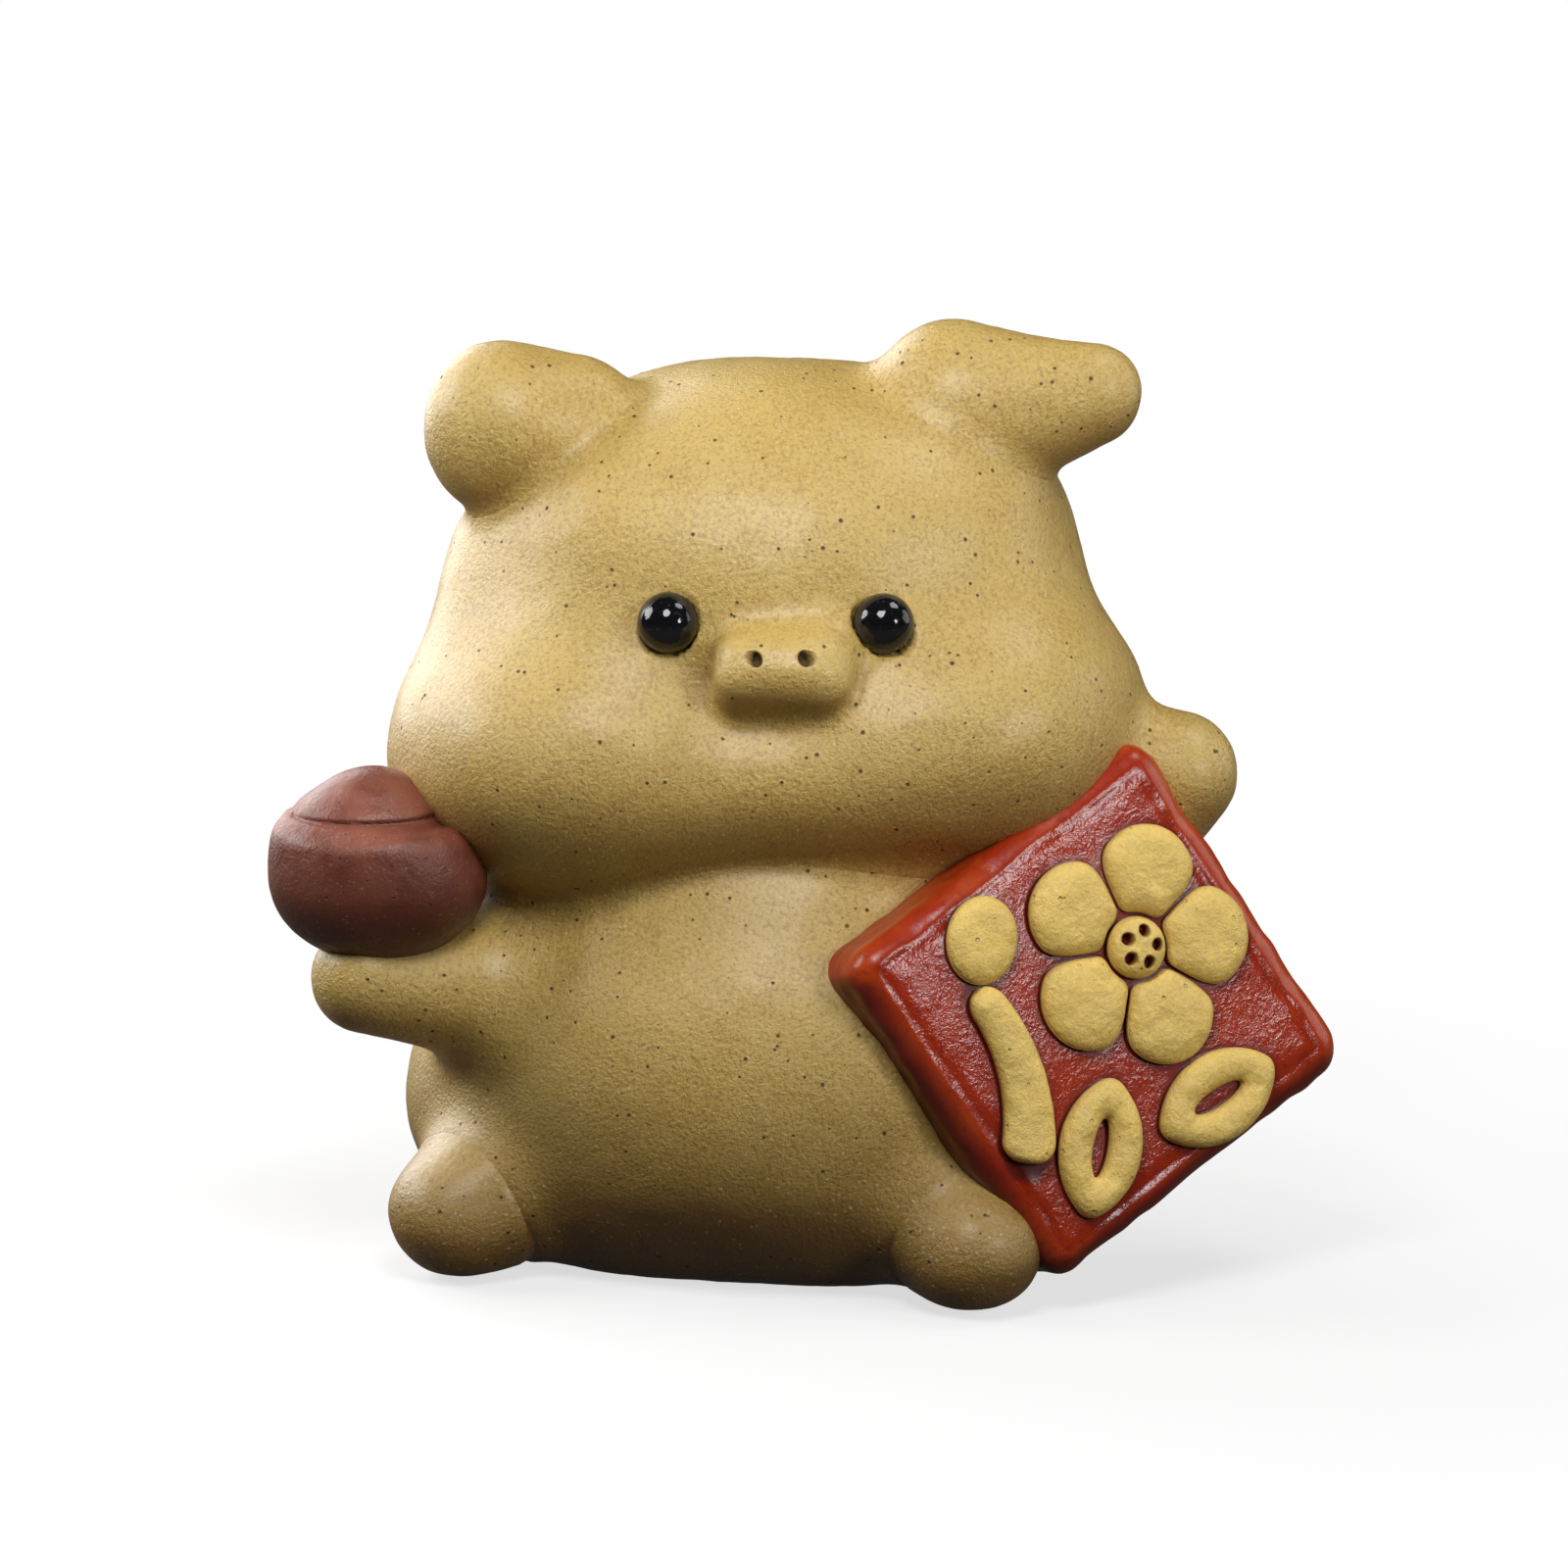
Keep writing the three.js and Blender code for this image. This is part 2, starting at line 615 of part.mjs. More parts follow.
const pits = Array.from({ length: heartPits }, (unused, pit) => {
  const angle = (2 * Math.PI * pit) / heartPits;
  const ball = new THREE.IcosahedronGeometry(heartPitWidth / 2, pitDetail);
  return solid(ball.translate(
    blossomAt.x + heartPitRing * Math.cos(angle),
    blossomAt.y + heartPitRing * Math.sin(angle),
    heartThickness / 2,
  ));
});
const heartShape = keep(heart, onSlab, reliefFoot);
const heartBall = mould(heartShape, heartMiddle, limbDetail, point(1, 1, heartFlatness));
const heartBody = without(heartBall, ...pits);
place('relief_heart', skinOf(heartBody, heartMiddle), yellowClay, heartMiddle, relief);

// Flat pieces with rounded edges, pressed on the slab
function pressed(outline) {
  return new THREE.ExtrudeGeometry(outline, {
    depth: reliefHeight - 2 * reliefEdge,
    bevelSize: reliefEdge,
    bevelOffset: -reliefEdge,
    bevelThickness: reliefEdge,
    bevelSegments: 2,
    curveSegments: 8,
  }).translate(0, 0, reliefEdge);
}
function twigOutline() {
  const twigSteps = 9;
  const from = new THREE.Vector2(-twigFoot, twigFoot + reliefMargin - slabSide / Math.SQRT2);
  const to = new THREE.Vector2(budAt.x, budAt.y - budLength / 2 - reliefClearance);
  const along = to.clone().sub(from);
  const aside = new THREE.Vector2(-along.y, along.x).normalize();
  const bend = from.clone().lerp(to, 0.5).addScaledVector(aside, -twigBend);
  const edge = (side) => new THREE.QuadraticBezierCurve(
    from.clone().addScaledVector(aside, (side * twigWidth) / 2),
    bend.clone().addScaledVector(aside, (side * twigMiddleWidth) / 2),
    to.clone().addScaledVector(aside, (side * twigTipWidth) / 2),
  ).getPoints(twigSteps);
  return new THREE.Shape([...edge(-1), ...edge(1).reverse()]);
}
// A leaf's edge rises to three quarters of the height of its curve's handles
function leafOutline() {
  const tip = leafLength / 2;
  const handle = (leafWidth / 2) / 0.75;
  const outline = new THREE.Shape();
  outline.moveTo(-tip, 0);
  outline.bezierCurveTo(-tip / 2, -handle, tip / 2, -handle, tip, 0);
  outline.bezierCurveTo(tip / 2, handle, -tip / 2, handle, -tip, 0);
  const slot = new THREE.Path();
  slot.absellipse(0, 0, leafSlotLength / 2, leafSlotWidth / 2, 0, 2 * Math.PI, true);
  outline.holes.push(slot);
  return outline;
}
place('relief_twig', pressed(twigOutline()), yellowClay, point(0, 0, 0), relief);
const leaf = (name, at, angle) => {
  const mesh = place(name, pressed(leafOutline()), yellowClay, at, relief);
  mesh.rotation.z = radians(angle);
};
leaf('relief_leaf_upper', aroundBlossom(upperLeafAngle, leafWidth / 2), upperLeafAngle + 90);
leaf('relief_leaf_lower', aroundBlossom(lowerLeafAngle, leafLength / 2), lowerLeafAngle);
const budLump = egg(budAt, half(budWidth, budLength, petalThickness));
const budMiddle = budAt.clone().setZ(reliefMiddle);
const budBody = mould(keep(budLump, onSlab, reliefFoot), budMiddle, smallDetail, flat);
place('relief_bud', skinOf(budBody, budMiddle), yellowClay, budMiddle, relief);

// The origin is under the middle of the whole figurine, at the level of its base
const figurine = new THREE.Group();
figurine.add(pig);
figurine.updateMatrixWorld(true);
const extent = new THREE.Box3().setFromObject(figurine, true);
const middleOfAll = extent.getCenter(point(0, 0, 0));
pig.position.set(-middleOfAll.x, -middleOfAll.y, -extent.min.z);

export default figurine;
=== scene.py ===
"""A clay pig for a tea tray, with a clay ingot on its right hand and a glazed slab at its left side.

A form is a field: a function of places that is negative inside a lump, positive outside it, and close
to the distance from its surface. Soft fillets join the lumps. Each piece is a ball or a shell of rays
that run from its middle to the clay's surface. Lengths are in metres, +Z is up and the pig faces -Y.
"""

from math import cos, pi, radians, sin

import bpy
import numpy as np
from bpy.props import FloatProperty, FloatVectorProperty, PointerProperty
from mathutils import Matrix, Vector


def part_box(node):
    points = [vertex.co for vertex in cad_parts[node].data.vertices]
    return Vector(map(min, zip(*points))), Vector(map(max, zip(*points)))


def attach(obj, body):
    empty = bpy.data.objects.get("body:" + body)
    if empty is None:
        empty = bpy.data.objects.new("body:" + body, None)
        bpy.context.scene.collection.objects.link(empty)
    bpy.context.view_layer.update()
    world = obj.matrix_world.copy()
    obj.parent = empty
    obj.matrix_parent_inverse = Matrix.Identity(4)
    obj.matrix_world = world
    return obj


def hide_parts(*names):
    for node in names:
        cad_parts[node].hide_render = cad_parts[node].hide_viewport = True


bl_info = {
    "name": "Clay pig figurine",
    "version": (1, 0, 0),
    "blender": (4, 5, 0),
    "location": "View3D > Sidebar > Clay Pig",
    "description": "Builds a clay pig with its ingot and its glazed slab",
    "category": "Add Mesh",
}

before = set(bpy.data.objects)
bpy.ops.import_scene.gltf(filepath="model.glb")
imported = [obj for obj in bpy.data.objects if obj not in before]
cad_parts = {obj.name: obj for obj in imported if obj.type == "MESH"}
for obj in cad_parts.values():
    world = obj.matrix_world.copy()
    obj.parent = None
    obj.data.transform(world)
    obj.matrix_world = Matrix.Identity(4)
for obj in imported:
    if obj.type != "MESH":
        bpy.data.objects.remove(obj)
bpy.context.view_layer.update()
MM = 0.001
TINY = 1e-6
BODY = "root"
UP = np.array((0.0, 0.0, 1.0))
WHITE = (1, 1, 1, 1)
# What mixes the bits of a lattice corner's numbers into a random height
CELL_PRIMES = np.array((73856093, 19349663, 83492791))
SEED_STEP = 9176
BIT_MIXERS = ((15, 2246822519), (13, 3266489917))
LOW_BITS = 0xFFFFFFFF
LOW_HALF = 0xFFFF
HALF_RANGE = LOW_HALF / 2


def size(name, millimetres, text):
    """A property for one length, given in millimetres and kept in metres."""
    return FloatProperty(name=name, description=text, default=millimetres * MM, unit="LENGTH", precision=5)


def sizes(name, millimetres, text):
    """A property for a width, a depth and a height."""
    metres = tuple(value * MM for value in millimetres)
    return FloatVectorProperty(name=name, description=text, default=metres, unit="LENGTH", subtype="XYZ")


def number(name, value, text):
    """A property for an angle in degrees, or for a share."""
    return FloatProperty(name=name, description=text, default=value)


def paint(name, colour, text):
    """A property for a colour: red, green and blue, in linear light."""
    return FloatVectorProperty(name=name, description=text, default=colour, subtype="COLOR", min=0.0, max=1.0)


class TorsoSizes(bpy.types.PropertyGroup):
    """Sizes of the belly, the chest and the full lower belly."""

    belly: sizes("Belly", (55.2, 45.6, 37.2), "Width, depth and height of the belly")
    belly_middle: size("Belly middle", 12.5, "Height of the belly's widest level")
    chest: sizes("Chest", (43, 36, 26), "Width, depth and height of the chest")
    chest_rise: size("Chest rise", 14.5, "The chest's middle above the belly's")
    seat: sizes("Seat", (50.4, 43.6, 23), "Width, depth and height of the full lower belly")
    seat_middle: size("Seat middle", 7, "Height of the lower belly's middle")
    seat_forward: size("Seat forward", 1.2, "How far the lower belly stands in front")
    paunch: sizes("Paunch", (42, 41, 30), "Width, depth and height of the full front of the belly")
    paunch_middle: size("Paunch middle", 16.5, "Height of the paunch's middle")
    paunch_forward: size("Paunch forward", 3.5, "How far the paunch's middle stands in front")
    girth: sizes("Girth", (64, 47.5, 45), "Width, depth and height of the egg that the torso is pared to")
    girth_middle: size("Girth middle", 16.5, "Height of the girth's middle")
    girth_forward: size("Girth forward", 0.5, "How far the girth's middle stands in front")
    girth_blend: size("Girth blend", 3, "Rounding where the torso is pared")
    wall: size("Wall", 4, "Thickness of the torso's clay")
    waist_blend: size("Waist blend", 6, "Width over which the lumps run together")
    foot_ring: size("Foot ring", 1.2, "Rounding where the clay meets the table")


class HeadSizes(bpy.types.PropertyGroup):
    """Sizes of the skull, the cheeks and the chin."""

    rise: size("Rise", 6.8, "The head's middle above the top of the chest")
    turn: number("Turn", 13, "The head's turn towards its left")
    tilt: number("Tilt", -3.5, "The head's tilt towards its right")
    skull: sizes("Skull", (48, 34.6, 33), "Width, depth and height of the skull")
    skull_lift: size("Skull lift", 4, "The skull's middle above the head's")
    skull_back: size("Skull back", 1, "The skull's middle behind the head's")
    cheek: sizes("Cheek", (30.4, 32, 23.8), "Width, depth and height of a cheek")
    cheek_spread: size("Cheek spread", 26.8, "Between the middles of the cheeks")
    cheek_drop: size("Cheek drop", 6.8, "The cheeks below the head's middle")
    cheek_forward: size("Cheek forward", 5.0, "The cheeks in front of the skull's middle")
    cheek_shift: size("Cheek shift", -0.6, "The cheeks towards the pig's left")
    chin: sizes("Chin", (37, 33, 18), "Width, depth and height of the chin")
    chin_drop: size("Chin drop", 8.4, "The chin below the head's middle")
    chin_forward: size("Chin forward", 4.6, "The chin in front of the skull's middle")
    cheek_blend: size("Cheek blend", 4, "Width over which the cheeks run together")
    chin_blend: size("Chin blend", 5, "Width over which the chin runs into the cheeks")
    skull_blend: size("Skull blend", 5, "Width over which the skull runs into the cheeks")
    crease: size("Crease", 1.2, "Width of the crease under the chin")
    nape: size("Nape", 4, "Width over which the head runs into the torso at the sides and the back")
    wall: size("Wall", 4.4, "Thickness of the head's clay")


class FaceSizes(bpy.types.PropertyGroup):
    """Sizes and places of the eyes and the snout."""

    eye_spacing: size("Eye spacing", 15.8, "Between the middles of the eyes")
    eye_height: size("Eye height", 3.5, "The eyes above the head's middle")
    eye_shift: size("Eye shift", 0.8, "The eyes towards the pig's left")
    bead: size("Bead", 4.5, "Width of an eye")
    snout: sizes("Snout", (9.2, 7.6, 4.7), "Width, depth and height of the snout")
    snout_corner: size("Snout corner", 2.1, "Rounding of the snout's edges")
    snout_flare: sizes("Snout flare", (2.6, 0, 1.8), "How much wider and higher the snout is at its back")
    snout_sag: size("Snout sag", 0.6, "How far the back of the snout lies below its front")
    snout_lift: size("Snout lift", -0.3, "The snout above the head's middle")
    snout_shift: size("Snout shift", 1.2, "The snout towards the pig's left")
    snout_pitch: number("Snout pitch", -30, "How far the nose points upwards, as a negative angle")
    snout_stand_off: size("Snout stand-off", 0.2, "The snout's middle in front of the face")
    snout_blend: size("Snout blend", 1.1, "Width of the crease under the snout")
    bridge_blend: size("Bridge blend", 3, "Width over which the top of the snout runs into the face")
    nostril_spacing: size("Nostril spacing", 3.6, "Between the middles of the nostrils")
    nostril: sizes("Nostril", (0.9, 1.7, 1.2), "Width, depth and height of a nostril")
    nostril_lift: size("Nostril lift", 0.1, "The nostrils above the snout's middle")
    nostril_roll: number("Nostril roll", -20, "How far the nostrils lean to the side")


class EarSizes(bpy.types.PropertyGroup):
    """Sizes and places of the ears, each made of two lumps."""

    right_root: size("Right root", 10.8, "Width of the right ear's root")
    right_root_out: size("Right root out", -0.3, "The right root's middle beyond the skull's surface")
    right_root_rise: number("Right root rise", 42.8, "How high the right root sits")
    right_tip: size("Right tip", 12.8, "Width of the right ear's tip")
    right_out: size("Right tip out", 2.6, "The right tip beyond the skull's surface")
    right_rise: number("Right tip rise", 34.3, "How high the right tip sits")
    right_forward: number("Right forward", 14, "How far round to the front the right ear sits")
    left_root: size("Left root", 14, "Width of the left ear's root")
    left_root_out: size("Left root out", -0.65, "The left root's middle beyond the skull's surface")
    left_root_rise: number("Left root rise", 37.3, "How high the left root sits")
    left_tip: size("Left tip", 8.2, "Width of the left ear's tip")
    left_out: size("Left tip out", 6.7, "The left tip beyond the skull's surface")
    left_rise: number("Left tip rise", 27.2, "How high the left tip sits")
    left_forward: number("Left forward", 8, "How far round to the front the left ear sits")
    thinness: number("Thinness", 0.8, "Depth of an ear as a share of its height")
    right_blend: size("Right blend", 1.8, "Width over which the right ear runs into the head")
    left_blend: size("Left blend", 2.2, "Width over which the left ear runs into the head")


class LimbSizes(bpy.types.PropertyGroup):
    """Sizes and places of the arms, the feet and the tail."""

    right_shoulder: size("Right shoulder", 13.2, "Width of the right arm where it leaves the torso")
    left_shoulder: size("Left shoulder", 10.6, "Width of the left arm where it leaves the torso")
    shoulder_depth: size("Shoulder depth", 4.5, "How far inside the torso an arm starts")
    arm_blend: size("Arm blend", 3.5, "Width over which an arm runs into the torso")
    right_height: size("Right arm height", 20.5, "Height of the right shoulder")
    right_bearing: number("Right arm bearing", -53.5, "Direction of the right arm, from the front")
    right_reach: size("Right reach", 9.2, "From the torso's surface to the right hand")
    right_lift: size("Right lift", 2.1, "The right hand above its shoulder")
    right_hand: size("Right hand", 8.2, "Width of the right hand")
    left_height: size("Left arm height", 24, "Height of the left shoulder")
    left_bearing: number("Left arm bearing", 92, "Direction of the left arm, from the front")
    left_reach: size("Left reach", 8.1, "From the torso's surface to the left hand")
    left_lift: size("Left lift", 13.3, "The left hand above its shoulder")
    left_hand: size("Left hand", 8.9, "Width of the left hand")
    foot: sizes("Foot", (10.6, 11.4, 10.2), "Width, length and height of a foot")
    foot_middle: size("Foot middle", 4.8, "Height of a foot's middle")
    foot_out: size("Foot out", 1, "A foot's middle beyond the torso's surface")
    right_foot: number("Right foot bearing", -47.5, "Direction of the right foot, from the front")
    left_foot: number("Left foot bearing", 49, "Direction of the left foot, from the front")
    toe_out: number("Toe out", 30, "How far the feet turn outwards")
    foot_blend: size("Foot blend", 5.0, "Width over which a foot runs into the belly")
    tail: size("Tail", 4.8, "Width of the tail's root")
    tail_tip: size("Tail tip", 3.7, "Width of the tail's tip")
    tail_length: size("Tail length", 6, "How far the tail stands out")
    tail_height: size("Tail height", 13, "Height of the tail's root")
    tail_rise: number("Tail rise", 35, "How far the tail points upwards")
    tail_blend: size("Tail blend", 2.5, "Width over which the tail runs into the torso")


class IngotSizes(bpy.types.PropertyGroup):
    """Sizes of the ingot: a boat with a dome seated in it."""

    boat: sizes("Boat", (16.2, 12.8, 12.8), "Width, depth and height of the hull, as if it were an egg")
    boat_lift: size("Boat lift", 3.7, "The hull's middle above the hand's top")
    steepness: number("Steepness", 1.5, "How much taller the hull's upper half is")
    turn: number("Turn", 14, "The ingot's turn towards the pig's left")
    inset: size("Inset", 1.0, "The ingot's middle from the hand's towards the torso")
    rim_rise: size("Rim rise", 4.7, "The rim's lowest level above the boat's middle")
    rim_sweep: number("Rim sweep", 0.012, "How fast the rim climbs to its ends, per millimetre")
    rim_tilt: number("Rim tilt", 0.1, "How fast the rim climbs to the right")
    rim_edge: size("Rim edge", 1.6, "Rounding of the rim")
    basin: sizes("Basin", (12.8, 9.6, 1.6), "Width, depth and height of the hollow round the dome")
    dome: sizes("Dome", (11.6, 9.8, 11), "Width, depth and height of the dome")
    dome_lift: size("Dome lift", 2.6, "The dome's middle above the boat's")
    dome_back: size("Dome back", 1.2, "The dome's middle behind the boat's")
    seam_left: size("Left seam", 3.4, "Softness of the seam at the ingot's soft end")
    seam_right: size("Right seam", 0.5, "Softness of the seam at the ingot's sharp end")


class SlabSizes(bpy.types.PropertyGroup):
    """Sizes and place of the glazed slab."""

    side: size("Side", 29.4, "Length of the slab's sides")
    thickness: size("Thickness", 8.6, "Thickness of the slab")
    edge: size("Edge", 2.2, "Rounding of the slab's edges")
    corner: size("Corner", 2.4, "Rounding of the slab's corners, seen from its face")
    turn: number("Turn", 37, "Direction that the slab faces, from the front")
    lean: number("Lean", 13, "How far the slab faces upwards")
    roll: number("Roll", 30.5, "The slab's turn about the line out of its face")
    bearing: number("Bearing", 70.8, "Where on the torso the slab rests, from the front")
    height: size("Height", 20.9, "Height of the slab's middle")
    out: size("Out", 3.3, "The slab's middle beyond the torso's surface")


class ReliefSizes(bpy.types.PropertyGroup):
    """Sizes of the raised blossom, bud, twig and leaves."""

    height: size("Height", 1.25, "Height of the raised pieces")
    gap: size("Gap", 0.3, "Between two petals, and under each piece")
    clearance: size("Clearance", 0.4, "Between the blossom and the pieces round it")
    margin: size("Margin", 4.2, "From the twig's foot to the slab's edge")
    petal_length: size("Petal length", 8.0, "Length of a petal")
    petal_width: size("Petal width", 7.8, "Width of a petal")
    petal_reach: size("Petal reach", 5.2, "From the blossom's middle to a petal's middle")
    blossom_across: size("Blossom across", 1.8, "The blossom to the right of the slab's middle")
    blossom_up: size("Blossom up", 5, "The blossom above the slab's middle")
    heart: size("Heart", 4.6, "Width of the blossom's heart")
    heart_height: size("Heart height", 1.5, "Height of the heart")
    pit: size("Pit", 0.95, "Width of a pit in the heart")
    pit_ring: size("Pit ring", 1.25, "From the heart's middle to a pit")
    bud_width: size("Bud width", 5.6, "Width of the bud")
    bud_length: size("Bud length", 6.6, "Length of the bud")
    bud_angle: number("Bud angle", 187, "Where the bud lies round the blossom")
    twig_foot: size("Twig foot", 4.4, "The twig's foot to the left of the lowest corner")
    twig_width: size("Twig width", 4.4, "Width of the twig's foot")
    twig_tip: size("Twig tip", 2.8, "Width of the twig's tip")
    twig_bend: size("Twig bend", 3.2, "How far the twig is bent")
    leaf_length: size("Leaf length", 10.9, "Length of a leaf")
    leaf_width: size("Leaf width", 6.6, "Width of a leaf")
    slot_length: size("Slot length", 4.4, "Length of the slot in a leaf")
    slot_width: size("Slot width", 1.3, "Width of the slot in a leaf")
    upper_leaf: number("Upper leaf", -50, "Where the upper leaf lies round the blossom")
    lower_leaf: number("Lower leaf", -92, "Where the lower leaf lies round the blossom")


class Finishes(bpy.types.PropertyGroup):
    """Colours of the clays, the glazes and the stage."""

    ochre: paint("Ochre clay", (0.55, 0.36, 0.084), "The pig's clay")
    # Besides the mottle and grains, this pale clay is partly a painted highlight on the raised rounds
    ochre_pale: paint("Pale clay", (0.67, 0.475, 0.145), "The pig's clay where it is rubbed")
    # The deep clay is also painted shade: in the creases, where the clay faces down, and near its foot
    ochre_deep: paint("Deep clay", (0.19, 0.085, 0.014), "The pig's clay in its creases")
    sand: paint("Sand", (0.78, 0.62, 0.32), "Light grains in the clay")
    # This dark colour is the pinholes' own, and in the nostrils it is painted shade
    speck_and_nostril_shade: paint("Pinhole", (0.05, 0.022, 0.006), "The pinholes and the nostrils")
    sprig: paint("Sprig clay", (0.95, 0.67, 0.17), "The raised pieces' clay")
    brick: paint("Brick clay", (0.175, 0.042, 0.022), "The ingot's clay")
    brick_pale: paint("Pale brick clay", (0.29, 0.09, 0.052), "The ingot's clay where it is rubbed")
    # This deep clay is also painted shade in the seam and where the ingot faces down or aside
    brick_deep: paint("Deep brick clay", (0.065, 0.013, 0.007), "The ingot's clay in its seam")
    glaze: paint("Red glaze", (0.36, 0.022, 0.003), "The slab's glaze")
    glaze_pale: paint("Thin glaze", (0.47, 0.055, 0.006), "The slab's glaze where it is thin")
    # Besides the real pooled glaze, this dark colour is painted shade on the slab's sides that face down
    glaze_deep: paint("Pooled glaze", (0.12, 0.008, 0.005), "The slab's glaze where it is thick")
    black: paint("Black glaze", (0.005, 0.005, 0.006), "The eyes' glaze")
    black_dull: paint("Dull black", (0.03, 0.03, 0.034), "The eyes' glaze where it is dull")
    floor: paint("Floor", (0.90, 0.90, 0.90), "The floor as it is seen")
    floor_bounce: paint("Floor bounce", (0.06, 0.042, 0.02), "The floor as it lights the pig")


# Places, directions and fields


def turned(yaw, roll=0.0, pitch=0.0):
    """A turn of pitch about X, then of roll about Y, then of yaw about Z, in degrees, as a matrix."""
    turns = [Matrix.Rotation(radians(a), 3, axis) for a, axis in ((yaw, "Z"), (roll, "Y"), (pitch, "X"))]
    return np.array(turns[0] @ turns[1] @ turns[2])


def bearing(across, rise=0.0):
    """The direction at an angle from straight ahead, -Y, towards the pig's left, +X, and a rise."""
    a, r = radians(across), radians(rise)
    return np.array((sin(a) * cos(r), -cos(a) * cos(r), sin(r)))


def point(x=0.0, y=0.0, z=0.0):
    return np.array((x, y, z), float)


def lengths(rows):
    return np.sqrt((rows * rows).sum(-1))


def smooth(share):
    """A share from 0 to 1 that starts and ends level: its square times three less twice itself."""
    return share * share * (3 - 2 * share)


def sided(group, side, *keys):
    """A group's values for one side of the pig, whose names start with that side."""
    return [getattr(group, f"{side}_{key}") for key in keys]


def egg(middle, size3, turn=np.eye(3)):
    """An ellipsoid: the place in radii less one, times the place in radii, over its slope there."""
    radii = np.array(size3) / 2

    def field(places):
        local = (places - middle) @ turn
        near = lengths(local / radii)
        return near * (near - 1) / np.maximum(lengths(local / radii**2), TINY)

    return field


def limb(start, end, start_radius, end_radius):
    """A tapered bar with round ends: the distance to the nearest of the balls that fill it along its axis.

    That ball lies behind the place, seen along the axis, by the distance from the axis times the taper's
    tangent, whose sine is the change of the radius over the length.
    """
    axis = end - start
    length = np.sqrt(axis @ axis)
    sine = (start_radius - end_radius) / length
    tangent = sine / np.sqrt(1 - sine * sine)

    def field(places):
        along = (places - start) @ axis / length
        off = lengths(places - start - along[..., None] * axis / length)
        share = np.clip((along - off * tangent) / length, 0, 1)
        radius = start_radius + (end_radius - start_radius) * share
        return lengths(places - start - share[..., None] * axis) - radius

    return field


def soft_block(middle, size3, corner, turn):
    """A block with round edges: the distance to a smaller block, less the edges' radius."""
    halves = np.array(size3) / 2 - corner

    def field(places):
        beyond = np.abs((places - middle) @ turn) - halves
        return lengths(np.maximum(beyond, 0)) + np.minimum(beyond.max(-1), 0) - corner

    return field


def tablet(size3, corner, edge):
    """A flat slab about the origin: the distance to a square with round corners, its edges rounded too."""
    halves = np.array(size3) / 2

    def field(places):
        beyond = np.abs(places) - halves
        flat = beyond[..., :2] + corner
        aside = lengths(np.maximum(flat, 0)) + np.minimum(flat.max(-1), 0) - corner
        both = np.stack([aside, beyond[..., 2]], -1) + edge
        return lengths(np.maximum(both, 0)) + np.minimum(both.max(-1), 0) - edge

    return field


def pressed(lump, middle, turn, share):
    """A lump pressed thinner from front to back, to a share of its depth: the field at unpressed places."""

    def field(places):
        local = (places - middle) @ turn
        local[..., 1] /= share
        return lump(local @ turn.T + middle) * share

    return field


def join(one, other, width):
    """Two lumps with a fillet: the smaller field, less a quarter of the squared overlap over the width."""

    def field(places):
        a, b = one(places), other(places)
        blend = width(places) if callable(width) else width
        overlap = np.maximum(blend - np.abs(a - b), 0) / blend
        return np.minimum(a, b) - overlap * overlap * blend / 4

    return field


def outside(lump):
    return lambda places: -lump(places)


def keep(one, other, width=0.6 * MM):
    """What two lumps share, with a rounded edge."""
    return outside(join(outside(one), outside(other), width))


def grown(lump, amount):
    return lambda places: lump(places) - amount


def nearest(one, other):
    return lambda places: np.minimum(one(places), other(places))


def above(level):
    return lambda places: level - places[..., 2]


def lattice_noise(places, pitch, seed=0):
    """Random heights from -1 to 1 at the corners of a lattice, run together smoothly between them."""
    spots = np.asarray(places) / pitch
    cells = np.floor(spots).astype(np.int64)
    parts = smooth(spots - cells)
    total = np.zeros(spots.shape[:-1])
    for corner in np.ndindex(*(2,) * spots.shape[-1]):
        mixed = (cells + corner) @ CELL_PRIMES[: spots.shape[-1]]
        mixed = (mixed + seed * SEED_STEP) & LOW_BITS
        for shift, factor in BIT_MIXERS:
            mixed = ((mixed ^ (mixed >> shift)) * factor) & LOW_BITS
        heights = ((mixed ^ (mixed >> 16)) & LOW_HALF) / HALF_RANGE - 1
        total += heights * np.where(corner, parts, 1 - parts).prod(-1)
    return total


def roughness(places, *layers):
    """Random heights in millimetres, in layers: each has its height and pitch in millimetres, and a seed."""
    return sum(height * lattice_noise(places, pitch * MM, seed) for height, pitch, seed in layers)


def follow(lump, start, ways):
    """How far it is along each way to the surface: careful steps outwards, then halving of the last one."""
    least, share, halvings = 0.08 * MM, 0.5, 14
    inside, out, step = np.zeros(len(ways)), np.zeros(len(ways)), np.full(len(ways), least)
    going = np.arange(len(ways))
    while len(going):
        ahead = inside[going] + step[going]
        value = lump(start + ways[going] * ahead[:, None])
        passed = value >= 0
        out[going[passed]] = ahead[passed]
        going = going[~passed]
        inside[going] = ahead[~passed]
        step[going] = np.maximum(least, -share * value[~passed])
    for _ in range(halvings):
        middle = (inside + out) / 2
        within = lump(start + ways * middle[:, None]) < 0
        inside, out = np.where(within, middle, inside), np.where(within, out, middle)
    return out


def surface_at(lump, start, way):
    """The place where one ray leaves a lump."""
    return start + way * follow(lump, start, way[None])[0]


def slope(lump, places, step=0.05 * MM):
    """The direction straight out of a surface, from the field's change along each axis."""
    change = [lump(places + step * axis) - lump(places - step * axis) for axis in np.eye(3)]
    out = np.stack(change, -1)
    return out / np.maximum(lengths(out), TINY * MM * MM)[..., None]


def hollowness(lump, places, reach=1.6 * MM):
    """How far a surface is hollow: the field at a place less its mean at six places around, over reach."""
    around = sum(lump(places + side * reach * axis) for axis in np.eye(3) for side in (1, -1)) / 6
    return (lump(places) - around) / reach


# The pig's lumps


